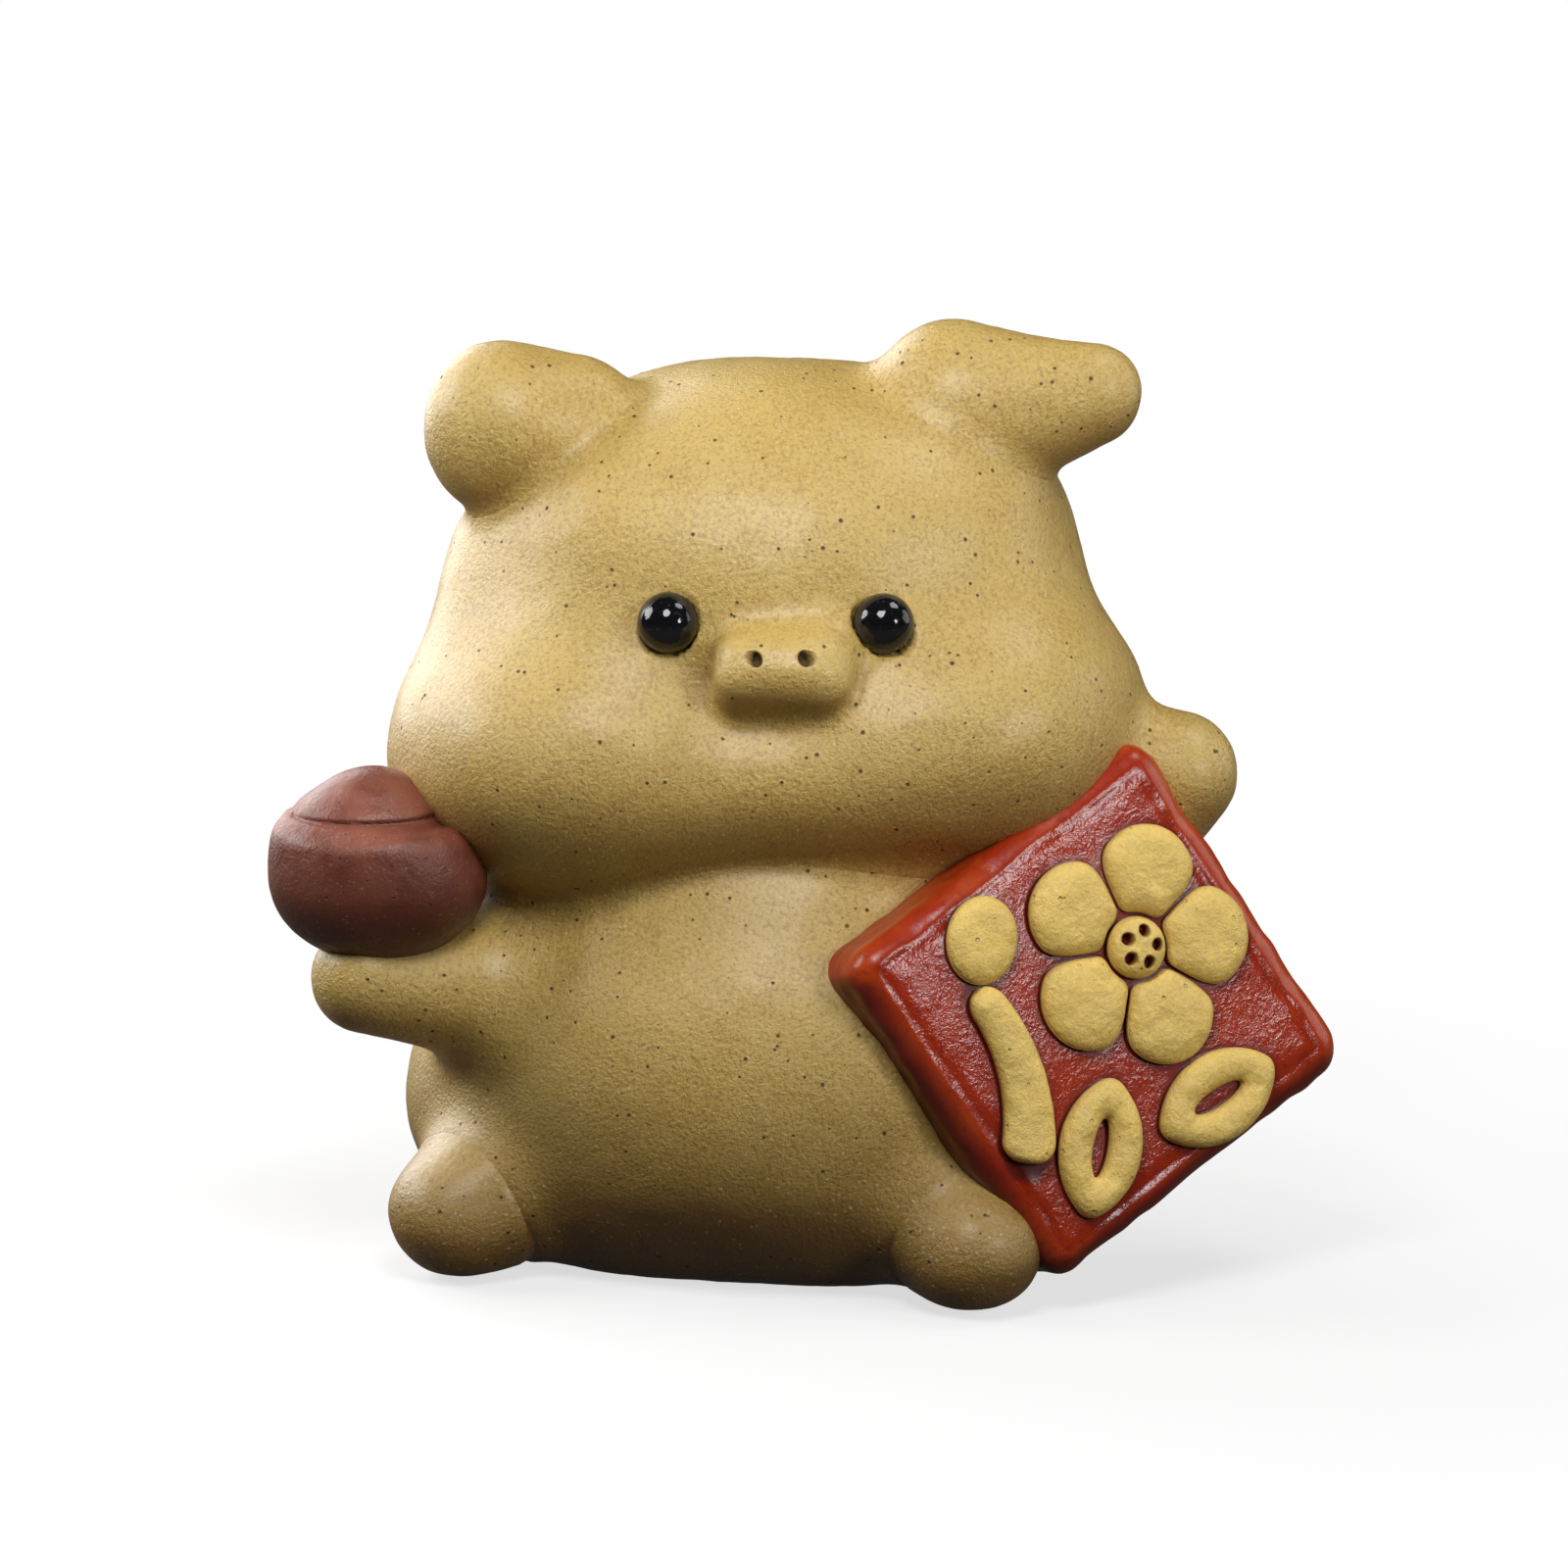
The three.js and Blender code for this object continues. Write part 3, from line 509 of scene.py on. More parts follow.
class Clay:
    """The lumps of the pig, the fillets between them, and where each piece sits."""

    table_trim = 0.05 * MM
    skin_margin = 0.9 * MM
    tenon_depth = 2 * MM
    give_depth = 0.16 * MM
    give_width = 0.9 * MM
    wave_height = 0.22 * MM
    wave_pitch = 21 * MM
    wave_starts = (1.3, 0.4, 2.1, 0.9)
    wave_slant = 0.7
    # The crease under the chin stays sharp to this far aside and behind, and is soft after the run
    crease_half = 4 * MM
    crease_back = -6 * MM
    crease_run = 14 * MM
    bridge_run = 2.5 * MM
    # Where a limb's rays start, as a share of the way along it
    arm_core = 0.7
    tail_core = 0.3

    def __init__(self, scene):
        self.make_torso(scene.pig_torso)
        self.make_head(scene.pig_head)
        self.make_ears(scene.pig_ears)
        self.make_face(scene.pig_face)
        self.make_limbs(scene.pig_limbs)
        self.make_ingot(scene.pig_ingot, scene.pig_limbs)
        self.make_slab(scene.pig_slab)
        self.make_skin(scene)
        # The figurine stands with its whole box over the origin, so the pig itself is a little aside
        low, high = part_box("tile_slab")
        self.shift = np.array((low + high) / 2) - self.slab_middle
        self.shift[2] = 0
        widest = max(scene.pig_head.nape, scene.pig_ears.left_blend, scene.pig_limbs.arm_blend)
        self.overhang = self.skin_margin + widest / 4

    def make_torso(self, s):
        belly = egg(point(z=s.belly_middle), s.belly)
        chest_middle = point(z=s.belly_middle + s.chest_rise)
        self.chest_top = chest_middle + point(z=s.chest[2] / 2)
        chest = egg(chest_middle, s.chest)
        seat = egg(point(0, -s.seat_forward, s.seat_middle), s.seat)
        self.torso = join(join(belly, seat, s.waist_blend), chest, s.waist_blend)
        paunch = egg(point(0, -s.paunch_forward, s.paunch_middle), s.paunch)
        girth = egg(point(0, -s.girth_forward, s.girth_middle), s.girth)
        self.body = keep(join(self.torso, paunch, s.waist_blend / 2), girth, s.girth_blend)
        self.lining = keep(self.torso, girth, s.girth_blend)
        self.torso_middle = point(z=s.belly_middle + s.chest_rise / 4)

    def make_head(self, s):
        self.head_middle = self.chest_top + point(z=s.rise)
        self.head_turn = turned(s.turn, s.tilt)
        self.skull_middle = self.in_head(0, s.skull_back, s.skull_lift)
        self.skull = egg(self.skull_middle, s.skull, self.head_turn)
        cheeks = []
        for side in (-1, 1):
            out = side * s.cheek_spread / 2 + s.cheek_shift
            middle = self.in_head(out, s.skull_back - s.cheek_forward, -s.cheek_drop)
            cheeks.append(egg(middle, s.cheek, self.head_turn))
        chin_middle = self.in_head(0, s.skull_back - s.chin_forward, -s.chin_drop)
        chin = egg(chin_middle, s.chin, self.head_turn)
        lower = join(join(*cheeks, s.cheek_blend), chin, s.chin_blend)
        self.head = join(lower, self.skull, s.skull_blend)
        self.core = nearest(self.torso, self.head)
        self.face_turn = turned(s.turn)
        self.ahead = bearing(s.turn)

    def in_head(self, x, y, z):
        """A place given from the head's middle, along the head's own axes."""
        return self.head_turn @ point(x, y, z) + self.head_middle

    def ear_seat(self, side, out, rise, forward):
        """A place at a distance out from the skull's surface, on one side."""
        way = self.head_turn @ bearing(side * (90 - forward), rise)
        return surface_at(self.skull, self.skull_middle, way) + way * out

    def make_ears(self, s):
        self.ears, self.ear_middles = [], []
        for side, name in ((-1, "right"), (1, "left")):
            forward, root_width, tip_width = sided(s, name, "forward", "root", "tip")
            root = self.ear_seat(side, *sided(s, name, "root_out", "root_rise"), forward)
            tip = self.ear_seat(side, *sided(s, name, "out", "rise"), forward)
            flap = limb(root, tip, root_width / 2, tip_width / 2)
            self.ears.append(pressed(flap, (root + tip) / 2, self.head_turn, s.thinness))
            self.ear_middles.append((root + tip) / 2)

    def on_face(self, x, z):
        """The place on the face straight ahead of one in the head's upright plane."""
        return surface_at(self.head, self.face_turn @ point(x, 0, z) + self.head_middle, self.ahead)

    def make_face(self, s):
        self.eyes = [self.on_face(s.eye_shift + side * s.eye_spacing / 2, s.eye_height) for side in (-1, 1)]
        self.snout_turn = self.face_turn @ turned(0, 0, s.snout_pitch)
        self.snout_middle = self.on_face(s.snout_shift, s.snout_lift) + self.ahead * s.snout_stand_off
        block = soft_block(np.zeros(3), s.snout, s.snout_corner, np.eye(3))
        flare, drop = np.array(s.snout_flare) / s.snout, point(z=s.snout_sag)

        def snout(places):
            """The block, whose outline widens and drops from its front to its back."""
            local = (places - self.snout_middle) @ self.snout_turn
            share = np.clip(local[..., 1:2] / s.snout[1] + 0.5, 0, 1)
            return block((local + drop * share) / (1 + flare * share))

        self.snout = snout

    def make_limbs(self, s):
        self.arms, self.hands, self.arm_middles = [], [], []
        for name in ("right", "left"):
            height, across, reach, lift = sided(s, name, "height", "bearing", "reach", "lift")
            shoulder_width, hand_width = sided(s, name, "shoulder", "hand")
            way = bearing(across)
            start = surface_at(self.torso, point(z=height), way)
            hand = start + way * reach + point(z=lift)
            shoulder = start - way * s.shoulder_depth
            self.arms.append(limb(shoulder, hand, shoulder_width / 2, hand_width / 2))
            self.hands.append(hand)
            self.arm_middles.append(shoulder + (hand - shoulder) * self.arm_core)
        self.feet, self.foot_middles = [], []
        for side, across in ((-1, s.right_foot), (1, s.left_foot)):
            way = bearing(across)
            middle = surface_at(self.torso, point(z=s.foot_middle), way) + way * s.foot_out
            self.feet.append(egg(middle, s.foot, turned(side * s.toe_out)))
            self.foot_middles.append(middle)
        way = bearing(180, s.tail_rise)
        root = surface_at(self.torso, point(z=s.tail_height), bearing(180))
        tip = root + way * (s.tail_length - s.tail / 2)
        self.tail = limb(root - way * s.tail, tip, s.tail / 2, s.tail_tip / 2)
        self.tail_middle = root + (tip - root) * self.tail_core

    def make_ingot(self, s, limbs):
        inwards = -s.inset * bearing(limbs.right_bearing)
        self.ingot_middle = self.hands[0] + inwards + point(z=limbs.right_hand / 2 + s.boat_lift)
        self.ingot_turn = turned(s.turn)
        whole = egg(self.ingot_middle, s.boat, self.ingot_turn)
        dome_aside = -s.dome_back / 3
        self.dome_middle = self.ingot_middle + self.ingot_turn @ point(dome_aside, s.dome_back, s.dome_lift)
        self.dome = egg(self.dome_middle, s.dome, self.ingot_turn)

        def hull(places):
            """The egg, whose upper half is stretched upwards."""
            rise = places[..., 2:] - self.ingot_middle[2]
            lowered = np.where(rise > 0, rise * (1 - 1 / s.steepness), 0)
            return whole(places - lowered * UP)

        def below_rim(places):
            """The height over a rim that climbs evenly to the right and as a square to both ends."""
            across, _, rise = np.moveaxis((places - self.ingot_middle) @ self.ingot_turn, -1, 0)
            return rise - s.rim_rise - (s.rim_tilt + s.rim_sweep / MM * across) * across

        def seam(places):
            """The seam's softness, from the ingot's soft end to its sharp one."""
            across = ((places - self.ingot_middle) @ self.ingot_turn)[..., 0] / s.boat[0] + 0.5
            share = np.clip(across, 0, 1)
            return s.seam_left + (s.seam_right - s.seam_left) * share

        basin = egg(self.ingot_middle + point(z=s.rim_rise), s.basin, self.ingot_turn)
        self.boat = keep(keep(hull, below_rim, s.rim_edge), outside(basin), s.rim_edge)
        self.ingot = join(self.boat, self.dome, seam)

    def make_slab(self, s):
        normal = bearing(s.turn, s.lean)
        level = bearing(s.turn + 90)
        basis = np.stack([level, np.cross(normal, level), normal], 1)
        self.slab_turn = basis @ turned(s.roll)
        way = bearing(s.bearing)
        self.slab_middle = surface_at(self.torso, point(z=s.height), way) + way * s.out

    def on_slab(self, places):
        """Places given from the slab's middle, along its sides and out of its face, in the scene."""
        return places @ self.slab_turn.T + self.slab_middle + self.shift

    def make_skin(self, scene):
        limbs, ears = scene.pig_limbs, scene.pig_ears
        crease, nape = scene.pig_head.crease, scene.pig_head.nape
        under_snout, over_snout = scene.pig_face.snout_blend, scene.pig_face.bridge_blend

        def neck(places):
            """Sharp in front, and soft where the place is far aside or behind."""
            beyond = np.maximum(np.abs(places[..., 0]) - self.crease_half, places[..., 1] - self.crease_back)
            return crease + (nape - crease) * smooth(np.clip(beyond / self.crease_run, 0, 1))

        def bridge(places):
            """Sharp under the snout, and soft above it."""
            up = np.clip((places[..., 2] - self.snout_middle[2]) / self.bridge_run, 0, 1)
            return under_snout + (over_snout - under_snout) * up

        clay = join(self.head, self.body, neck)
        for lumps, width in (
            (self.ears[:1], ears.right_blend),
            (self.ears[1:], ears.left_blend),
            (self.arms, limbs.arm_blend),
            (self.feet, limbs.foot_blend),
            ([self.snout], bridge),
            ([self.tail], limbs.tail_blend),
        ):
            for lump in lumps:
                clay = join(clay, lump, width)

        def uneven(places):
            """The clay, raised and sunk by slow waves: sines of two directions, multiplied."""
            x, y, z = np.moveaxis(places, -1, 0) * (2 * pi / self.wave_pitch)
            one, two, three, four = self.wave_starts
            across = np.sin(x + one) * np.sin(y + two)
            upright = np.sin(z + three) * np.sin(x * self.wave_slant + four)
            return clay(places) + self.wave_height * (across + upright)

        self.skin = keep(uneven, above(-self.table_trim), scene.pig_torso.foot_ring)

    def giving_way(self, own, *others):
        """The shared skin, sunk a little where another lump is nearer, so that one piece lies on top."""

        def field(places):
            theirs = np.minimum.reduce([other(places) for other in others])
            share = np.clip((own(places) - theirs) / self.give_width, 0, 1)
            return self.skin(places) + self.give_depth * share

        return field

    def limb_field(self, lump, blend, under=None):
        """A limb up to its joint: the shared skin near the lump, down to a tenon's depth in what bears it."""
        bearer = under or self.core
        near = keep(self.giving_way(lump, bearer), grown(lump, blend / 4 + self.skin_margin))
        return keep(near, outside(grown(bearer, -self.tenon_depth)))


# Surfaces


def ball_grid(count):
    """Directions over a ball and the squares that join them: six patches, evened by the tangent."""
    steps = np.tan(np.linspace(-pi / 4, pi / 4, count + 1))
    a, b = np.meshgrid(steps, steps, indexing="ij")
    patches = []
    for axis in range(3):
        for side in (1, -1):
            patches.append(np.roll(np.stack([np.full_like(a, side), a, b * side], -1), axis, -1))
    ways = np.concatenate([patch.reshape(-1, 3) for patch in patches])
    ways /= lengths(ways)[:, None]
    ways, index = np.unique(np.round(ways, decimals=7), axis=0, return_inverse=True)
    index = index.reshape(6, count + 1, count + 1)
    squares = np.stack([index[:, :-1, :-1], index[:, 1:, :-1], index[:, 1:, 1:], index[:, :-1, 1:]], -1)
    return ways / lengths(ways)[:, None], squares.reshape(-1, 4)


def mould(lump, middle, count, proportions=(1, 1, 1), turn=np.eye(3)):
    """A lump's surface: the rays of a ball, pressed to its proportions, run out to the surface."""
    ways, squares = ball_grid(count)
    ways = (ways * proportions) @ turn.T
    ways /= lengths(ways)[:, None]
    return middle + ways * follow(lump, middle, ways)[:, None], [squares]


def strips(rows, around, closed=False):
    """Squares between rows of points that each run once round; closed joins the last row to the first."""
    row, column = np.meshgrid(np.arange(rows if closed else rows - 1), np.arange(around), indexing="ij")
    here, below = row * around, (row + 1) % rows * around
    after = (column + 1) % around
    return np.stack([here + column, below + column, below + after, here + after], -1).reshape(-1, 4)


def cap(pole, row_start, around):
    """Triangles between one point and a row."""
    column = np.arange(around)
    return np.stack([np.full(around, pole), row_start + column, row_start + (column + 1) % around], -1)


def ended(rows, around):
    """Squares between rows of points, closed by a point beyond each end; those two points come last."""
    total = rows * around
    return [strips(rows, around), cap(total, 0, around), cap(total + 1, total - around, around)[:, ::-1]]


def fan(falls, turns):
    """Directions at an angle down from straight up, and at an angle round the upright axis."""
    return np.stack([np.sin(falls) * np.cos(turns), np.sin(falls) * np.sin(turns), np.cos(falls)], -1)


def crossing(skin, other, middle, turns, low, high):
    """For each turn, the fall between low and high where a skin leaves another lump, found by halving."""
    low, high = np.full(len(turns), low), np.full(len(turns), high)
    halvings = 12
    for _ in range(halvings):
        falls = (low + high) / 2
        ways = fan(falls, turns)
        within = other(middle + ways * follow(skin, middle, ways)[:, None]) < 0
        low, high = np.where(within, falls, low), np.where(within, high, falls)
    return (low + high) / 2


def shell(outer, inner, middle, turns, top, bottom, down, up):
    """A hollow form in one closed surface: rays fan from top to bottom along the outside, then back up.

    Where top is None the rays start straight up and both sides close in a point. Otherwise the two
    sides are joined round the opening at the top, as they always are at the bottom.
    """
    around = len(turns)
    start = 0 if top is None else top
    shares = np.concatenate([np.linspace(0, 1, down + 1), np.linspace(1, 0, up + 1)])
    outward = np.arange(len(shares)) <= down
    used = np.ones(len(shares), bool)
    used[down + 1] = False
    if top is None:
        used[[0, -1]] = False
    shares, outward = shares[used], outward[used]
    falls = start + shares[:, None] * (bottom - start)
    ways = fan(falls, np.broadcast_to(turns, falls.shape))
    points = []
    for field, rays in ((outer, ways[outward].reshape(-1, 3)), (inner, ways[~outward].reshape(-1, 3))):
        points.append(middle + rays * follow(field, middle, rays)[:, None])
    if top is not None:
        return np.concatenate(points), [strips(len(shares), around, closed=True)]
    poles = [surface_at(field, middle, UP) for field in (outer, inner)]
    return np.concatenate([*points, poles]), ended(len(shares), around)


def added(name, data):
    """A new object in the scene."""
    made = bpy.data.objects.new(name, data)
    bpy.context.scene.collection.objects.link(made)
    return made


def add_piece(node, points, faces, finish, masks=None):
    """Puts a surface into a mesh, faces outwards, which rides on the figurine and stands for its node."""
    volume = 0.0
    for rows in faces:
        for last in range(2, rows.shape[1]):
            a, b, c = (points[rows[:, i]] for i in (0, last - 1, last))
            volume += (a * np.cross(b, c)).sum()
    if volume < 0:
        faces = [rows[:, ::-1] for rows in faces]
    counts = np.concatenate([np.full(len(rows), rows.shape[1]) for rows in faces])
    corners = np.concatenate([rows.ravel() for rows in faces])
    mesh = bpy.data.meshes.new("fired_" + node)
    mesh.vertices.add(len(points))
    mesh.vertices.foreach_set("co", points.astype(np.float32).ravel())
    mesh.loops.add(len(corners))
    mesh.loops.foreach_set("vertex_index", corners.astype(np.int32))
    mesh.polygons.add(len(counts))
    mesh.polygons.foreach_set("loop_start", (np.cumsum(counts) - counts).astype(np.int32))
    mesh.update(calc_edges=True)
    mesh.shade_smooth()
    for key, values in (masks or {}).items():
        mesh.attributes.new(key, "FLOAT", "POINT").data.foreach_set("value", np.asarray(values, np.float32))
    mesh.materials.append(finish)
    piece = added(mesh.name, mesh)
    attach(piece, BODY)
    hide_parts(node)


def handwork(places):
    """What fingers and a sponge leave on clay: shallow dabs with finer ones among them."""
    return MM * roughness(places, (0.075, 4.6, 1), (0.035, 1.7, 2), (0.016, 0.62, 3))


def add_clay(clay, node, lump, surface, masks=None):
    """A piece of the pig's own clay, with its handwork, the table's flat and a mask of its hollows."""
    points, faces = surface
    normal = slope(lump, points)
    worked = points + normal * handwork(points)[:, None]
    worked[:, 2] = np.maximum(worked[:, 2], 0)
    masks = {"hollow": hollowness(clay.skin, points), "facing": normal[:, 2], **(masks or {})}
    add_piece(node, worked + clay.shift, faces, material("ochre_clay", ochre_fill), masks)


# Finishes


class Tree:
    """A node tree that is filled by the kind of each node, its inputs and its settings."""

    def __init__(self, tree):
        self.tree = tree

    def node(self, kind, inputs=(), **settings):
        node = self.tree.nodes.new("ShaderNode" + kind)
        for key, value in settings.items():
            setattr(node, key, value)
        for key, value in dict(inputs).items():
            if isinstance(value, bpy.types.NodeSocket):
                self.tree.links.new(value, node.inputs[key])
            else:
                node.inputs[key].default_value = value
        return node

    def value(self, kind, inputs=(), **settings):
        """A node's first output."""
        return self.node(kind, inputs, **settings).outputs[0]

    def math(self, operation, one, other=0.0):
        return self.value("Math", {0: one, 1: other}, operation=operation)

    def times(self, one, other):
        return self.math("MULTIPLY", one, other)

    def plus(self, one, other):
        return self.math("ADD", one, other)

    def fade(self, value, low, high, start=0.0, end=1.0):
        """A soft step from start to end as the value goes from low to high."""
        inputs = {"Value": value, "From Min": low, "From Max": high, "To Min": start, "To Max": end}
        return self.value("MapRange", inputs, interpolation_type="SMOOTHSTEP")

    def blend(self, share, one, other):
        """A colour that goes from one to other with share. The node's colours are its inputs 6 and 7."""
        mix = self.node("Mix", {0: share, 6: colour(one), 7: colour(other)}, data_type="RGBA")
        return mix.outputs[2]

    def noise(self, place, pitch, detail=2.0, roughness=0.55):
        inputs = {"Vector": place, "Scale": 1 / pitch, "Detail": detail, "Roughness": roughness}
        return self.value("TexNoise", inputs)

    def mask(self, name):
        return self.node("Attribute", attribute_name=name).outputs["Fac"]


def emptied(owner):
    """The node tree of a new material or world, with its usual nodes taken out."""
    owner.use_nodes = True
    owner.node_tree.nodes.clear()
    return Tree(owner.node_tree)


def colour(value):
    """A node's output as it is, or a colour property with its alpha."""
    return value if isinstance(value, bpy.types.NodeSocket) else (*value, 1.0)


def group(name, inputs, outputs, fill):
    """A shader node group, built once. fill gets the tree and the group's inputs, and returns its outputs."""
    if name in bpy.data.node_groups:
        return bpy.data.node_groups[name]
    tree = bpy.data.node_groups.new(name, "ShaderNodeTree")
    for key, kind, value in inputs:
        socket = tree.interface.new_socket(name=key, in_out="INPUT", socket_type="NodeSocket" + kind)
        if value is not None:
            socket.default_value = value
    for key in outputs:
        tree.interface.new_socket(name=key, in_out="OUTPUT", socket_type="NodeSocketFloat")
    source, sink = tree.nodes.new("NodeGroupInput"), tree.nodes.new("NodeGroupOutput")
    for key, socket in zip(outputs, fill(Tree(tree), source.outputs)):
        tree.links.new(socket, sink.inputs[key])
    return tree


def sandy(t, given):
    """Sand in clay, in cells about one grain wide: some hold a light grain, and wider cells a pinhole.

    The height, in millimetres, is a fine grit, raised at the grains and sunk at the pinholes.
    """
    place, scale = given["Vector"], given["Grains per Metre"]
    fine, coarse, broad = (t.times(scale, factor) for factor in (1.2, 0.42, 0.09))
    cells = t.node("TexVoronoi", {"Vector": place, "Scale": scale}).outputs
    pick = t.node("SeparateColor", {"Color": cells["Color"]}).outputs["Red"]
    sand = t.times(t.fade(pick, 0.87, 0.90), t.fade(cells["Distance"], 0.45, 0.20))
    wide = t.node("TexVoronoi", {"Vector": place, "Scale": coarse}).outputs
    chance = t.node("SeparateColor", {"Color": wide["Color"]}).outputs
    crowd = t.times(t.value("TexNoise", {"Vector": place, "Scale": broad, "Detail": 1.0}), 1.2)
    picked = t.fade(t.plus(chance["Green"], crowd), 1.13, 1.17)
    width = t.fade(chance["Blue"], 0, 1, 0.06, 0.20)
    pinhole = t.times(picked, t.fade(t.math("DIVIDE", wide["Distance"], width), 1.0, 0.6))
    rough = {"Vector": place, "Scale": fine, "Detail": 3.0, "Roughness": 0.7}
    grain = t.value("TexNoise", rough)
    sand_rise, pinhole_rise = t.times(sand, 0.12), t.times(pinhole, -1.2)
    raised = t.plus(t.plus(grain, sand_rise), pinhole_rise)
    return sand, pinhole, grain, t.times(raised, given["Grit"])


def crinkled(t, given):
    """A glaze that has crawled: ridges where a noise crosses its middle, over finer ones, in millimetres."""
    place, scale = given["Vector"], given["Wrinkles per Metre"]
    slow = t.times(scale, 0.5)
    bent = t.node("TexNoise", {"Vector": place, "Scale": slow, "Detail": 1.0}).outputs["Color"]
    moved = t.value("VectorMath", {0: bent, 1: (MM, MM, MM)}, operation="MULTIPLY")
    place = t.value("VectorMath", {0: place, 1: moved}, operation="ADD")
    wrinkle = t.value("TexNoise", {"Vector": place, "Scale": scale, "Detail": 3.0, "Roughness": 0.62})
    ridge = t.math("ABSOLUTE", t.plus(wrinkle, -0.5))
    return (t.times(ridge, given["Depth"]),)


def sandy_group():
    inputs = (("Vector", "Vector", None), ("Grains per Metre", "Float", 2600.0), ("Grit", "Float", 0.1))
    return group("sandy_clay", inputs, ("Sand", "Pinhole", "Grain", "Height"), sandy)


def crinkled_group():
    inputs = (("Vector", "Vector", None), ("Wrinkles per Metre", "Float", 1200.0), ("Depth", "Float", 0.5))
    return group("crinkled_glaze", inputs, ("Height",), crinkled)


def material(name, fill):
    """A material with one Principled shader, built once. fill gets the tree and the place."""
    if name in bpy.data.materials:
        return bpy.data.materials[name]
    made = bpy.data.materials.new(name)
    t = emptied(made)
    shader = t.node("BsdfPrincipled")
    t.node("OutputMaterial", {"Surface": shader.outputs[0]})
    place = t.node("TexCoord").outputs["Object"]
    for key, value in fill(t, place, bpy.context.scene.pig_finishes).items():
        if isinstance(value, bpy.types.NodeSocket):
            t.tree.links.new(value, shader.inputs[key])
        else:
            shader.inputs[key].default_value = value
    return made


def bump(t, height):
    """A normal from a height in millimetres."""
    return t.value("Bump", {"Height": height, "Distance": MM})


def sand_nodes(t, place, grains, grit):
    inputs = {"Vector": place, "Grains per Metre": grains, "Grit": grit}
    return t.node("Group", inputs, node_tree=sandy_group()).outputs[:4]


def layered(t, base, *layers):
    """A colour under layers, each with the share that it covers and its own colour."""
    for share, over in layers:
        base = t.blend(share, base, over)
    return base


def ochre_fill(t, place, paints):
    """The pig's clay: mottled; darker in its hollows, partly stain and partly painted shade; darker where it
    faces down and towards its foot, which is painted shade; paler on its rounds, partly rubbed and partly a
    painted highlight.

    A thin smooth skin over the grit, as handled clay has, gives the broad sheen.
    """
    # In this clay the pit mask holds the painted shade inside the nostrils
    hollow, pit = t.mask("hollow"), t.mask("pit")
    sand, pinhole, grain, height = sand_nodes(t, place, grains=2600.0, grit=0.2)
    mottled = t.fade(t.noise(place, 7 * MM), 0.35, 0.65, 0.0, 0.5)
    light_grain = t.fade(grain, 0.46, 0.66, 0.0, 0.7)
    dark_grain = t.fade(grain, 0.5, 0.34, 0.0, 0.36)
    # Partly rubbed wear and partly a painted highlight: paler clay on the raised rounds
    rubbed = t.fade(hollow, -0.06, -0.16, 0.0, 0.35)
    # Partly stain and partly painted shade: deeper clay in the hollows and creases, where shade falls
    creased = t.fade(hollow, 0.03, 0.24, 0.0, 0.65)
    # Painted shade: deeper clay where the surface faces down and towards the table, as a lamp from above
    # would leave it
    under = t.fade(t.mask("facing"), 0.1, -0.7, 0.0, 0.5)
    above_table = t.node("SeparateXYZ", {"Vector": place}).outputs["Z"]
    low = t.fade(above_table, 20 * MM, 1 * MM, 0.0, 0.62)
    tea = t.math("MINIMUM", t.plus(under, low), 0.85)
    shade = layered(
        t,
        paints.ochre,
        (mottled, paints.ochre_pale),
        (light_grain, paints.ochre_pale),
        (dark_grain, paints.ochre_deep),
        (rubbed, paints.ochre_pale),
        # Deeper clay in the creases, partly stain and partly painted shade, and painted shade where the clay
        # faces down or is low
        (t.math("MAXIMUM", creased, tea), paints.ochre_deep),
        (t.times(sand, 0.4), paints.sand),
        (t.times(pinhole, 0.8), paints.speck_and_nostril_shade),
        # Painted shade: the nostrils' insides take the dark pinhole colour
        (pit, paints.speck_and_nostril_shade),
    )
    opened = t.math("MAXIMUM", pit, pinhole)
    satin = t.fade(t.noise(place, 2.6 * MM, 3.0), 0.3, 0.7, 0.30, 0.40)
    return {
        "Base Color": shade,
        "Roughness": t.plus(satin, t.times(opened, 0.5)),
        "Normal": bump(t, height),
        "IOR": 1.5,
        "Coat Weight": t.fade(opened, 0.0, 1.0, 0.5, 0.0),
        "Coat Roughness": 0.36,
    }


def brick_fill(t, place, paints):
    """The ingot's clay: finer, leathery and nearly without sand; deeper in its seam, partly stain and partly
    painted shade, and with painted shade where it faces down or aside.
    """
    sand, pinhole, grain, height = sand_nodes(t, place, grains=3300.0, grit=0.06)
    leather = t.times(t.noise(place, 0.9 * MM, 3.0, 0.6), 0.10)
    mottled = t.fade(t.noise(place, 4 * MM), 0.35, 0.65)
    light_grain = t.fade(grain, 0.4, 0.7, 0.0, 0.35)
    # Partly stain and partly painted shade: deeper clay in the seam and hollows
    creased = t.fade(t.mask("hollow"), 0.03, 0.3, 0.0, 0.6)
    # Painted shade: deep clay where the ingot faces down or to the side
    under = t.fade(t.mask("facing"), 0.7, -0.5, 0.0, 0.9)
    shade = layered(
        t,
        paints.brick,
        (mottled, paints.brick_pale),
        (light_grain, paints.brick_pale),
        (t.math("MAXIMUM", creased, under), paints.brick_deep),
        (t.times(sand, 0.10), paints.sand),
        (t.times(pinhole, 0.6), paints.brick_deep),
    )
    satin = t.fade(t.noise(place, 1.8 * MM, 3.0), 0.3, 0.7, 0.34, 0.46)
    return {"Base Color": shade, "Roughness": satin, "Normal": bump(t, t.plus(height, leather)), "IOR": 1.5}


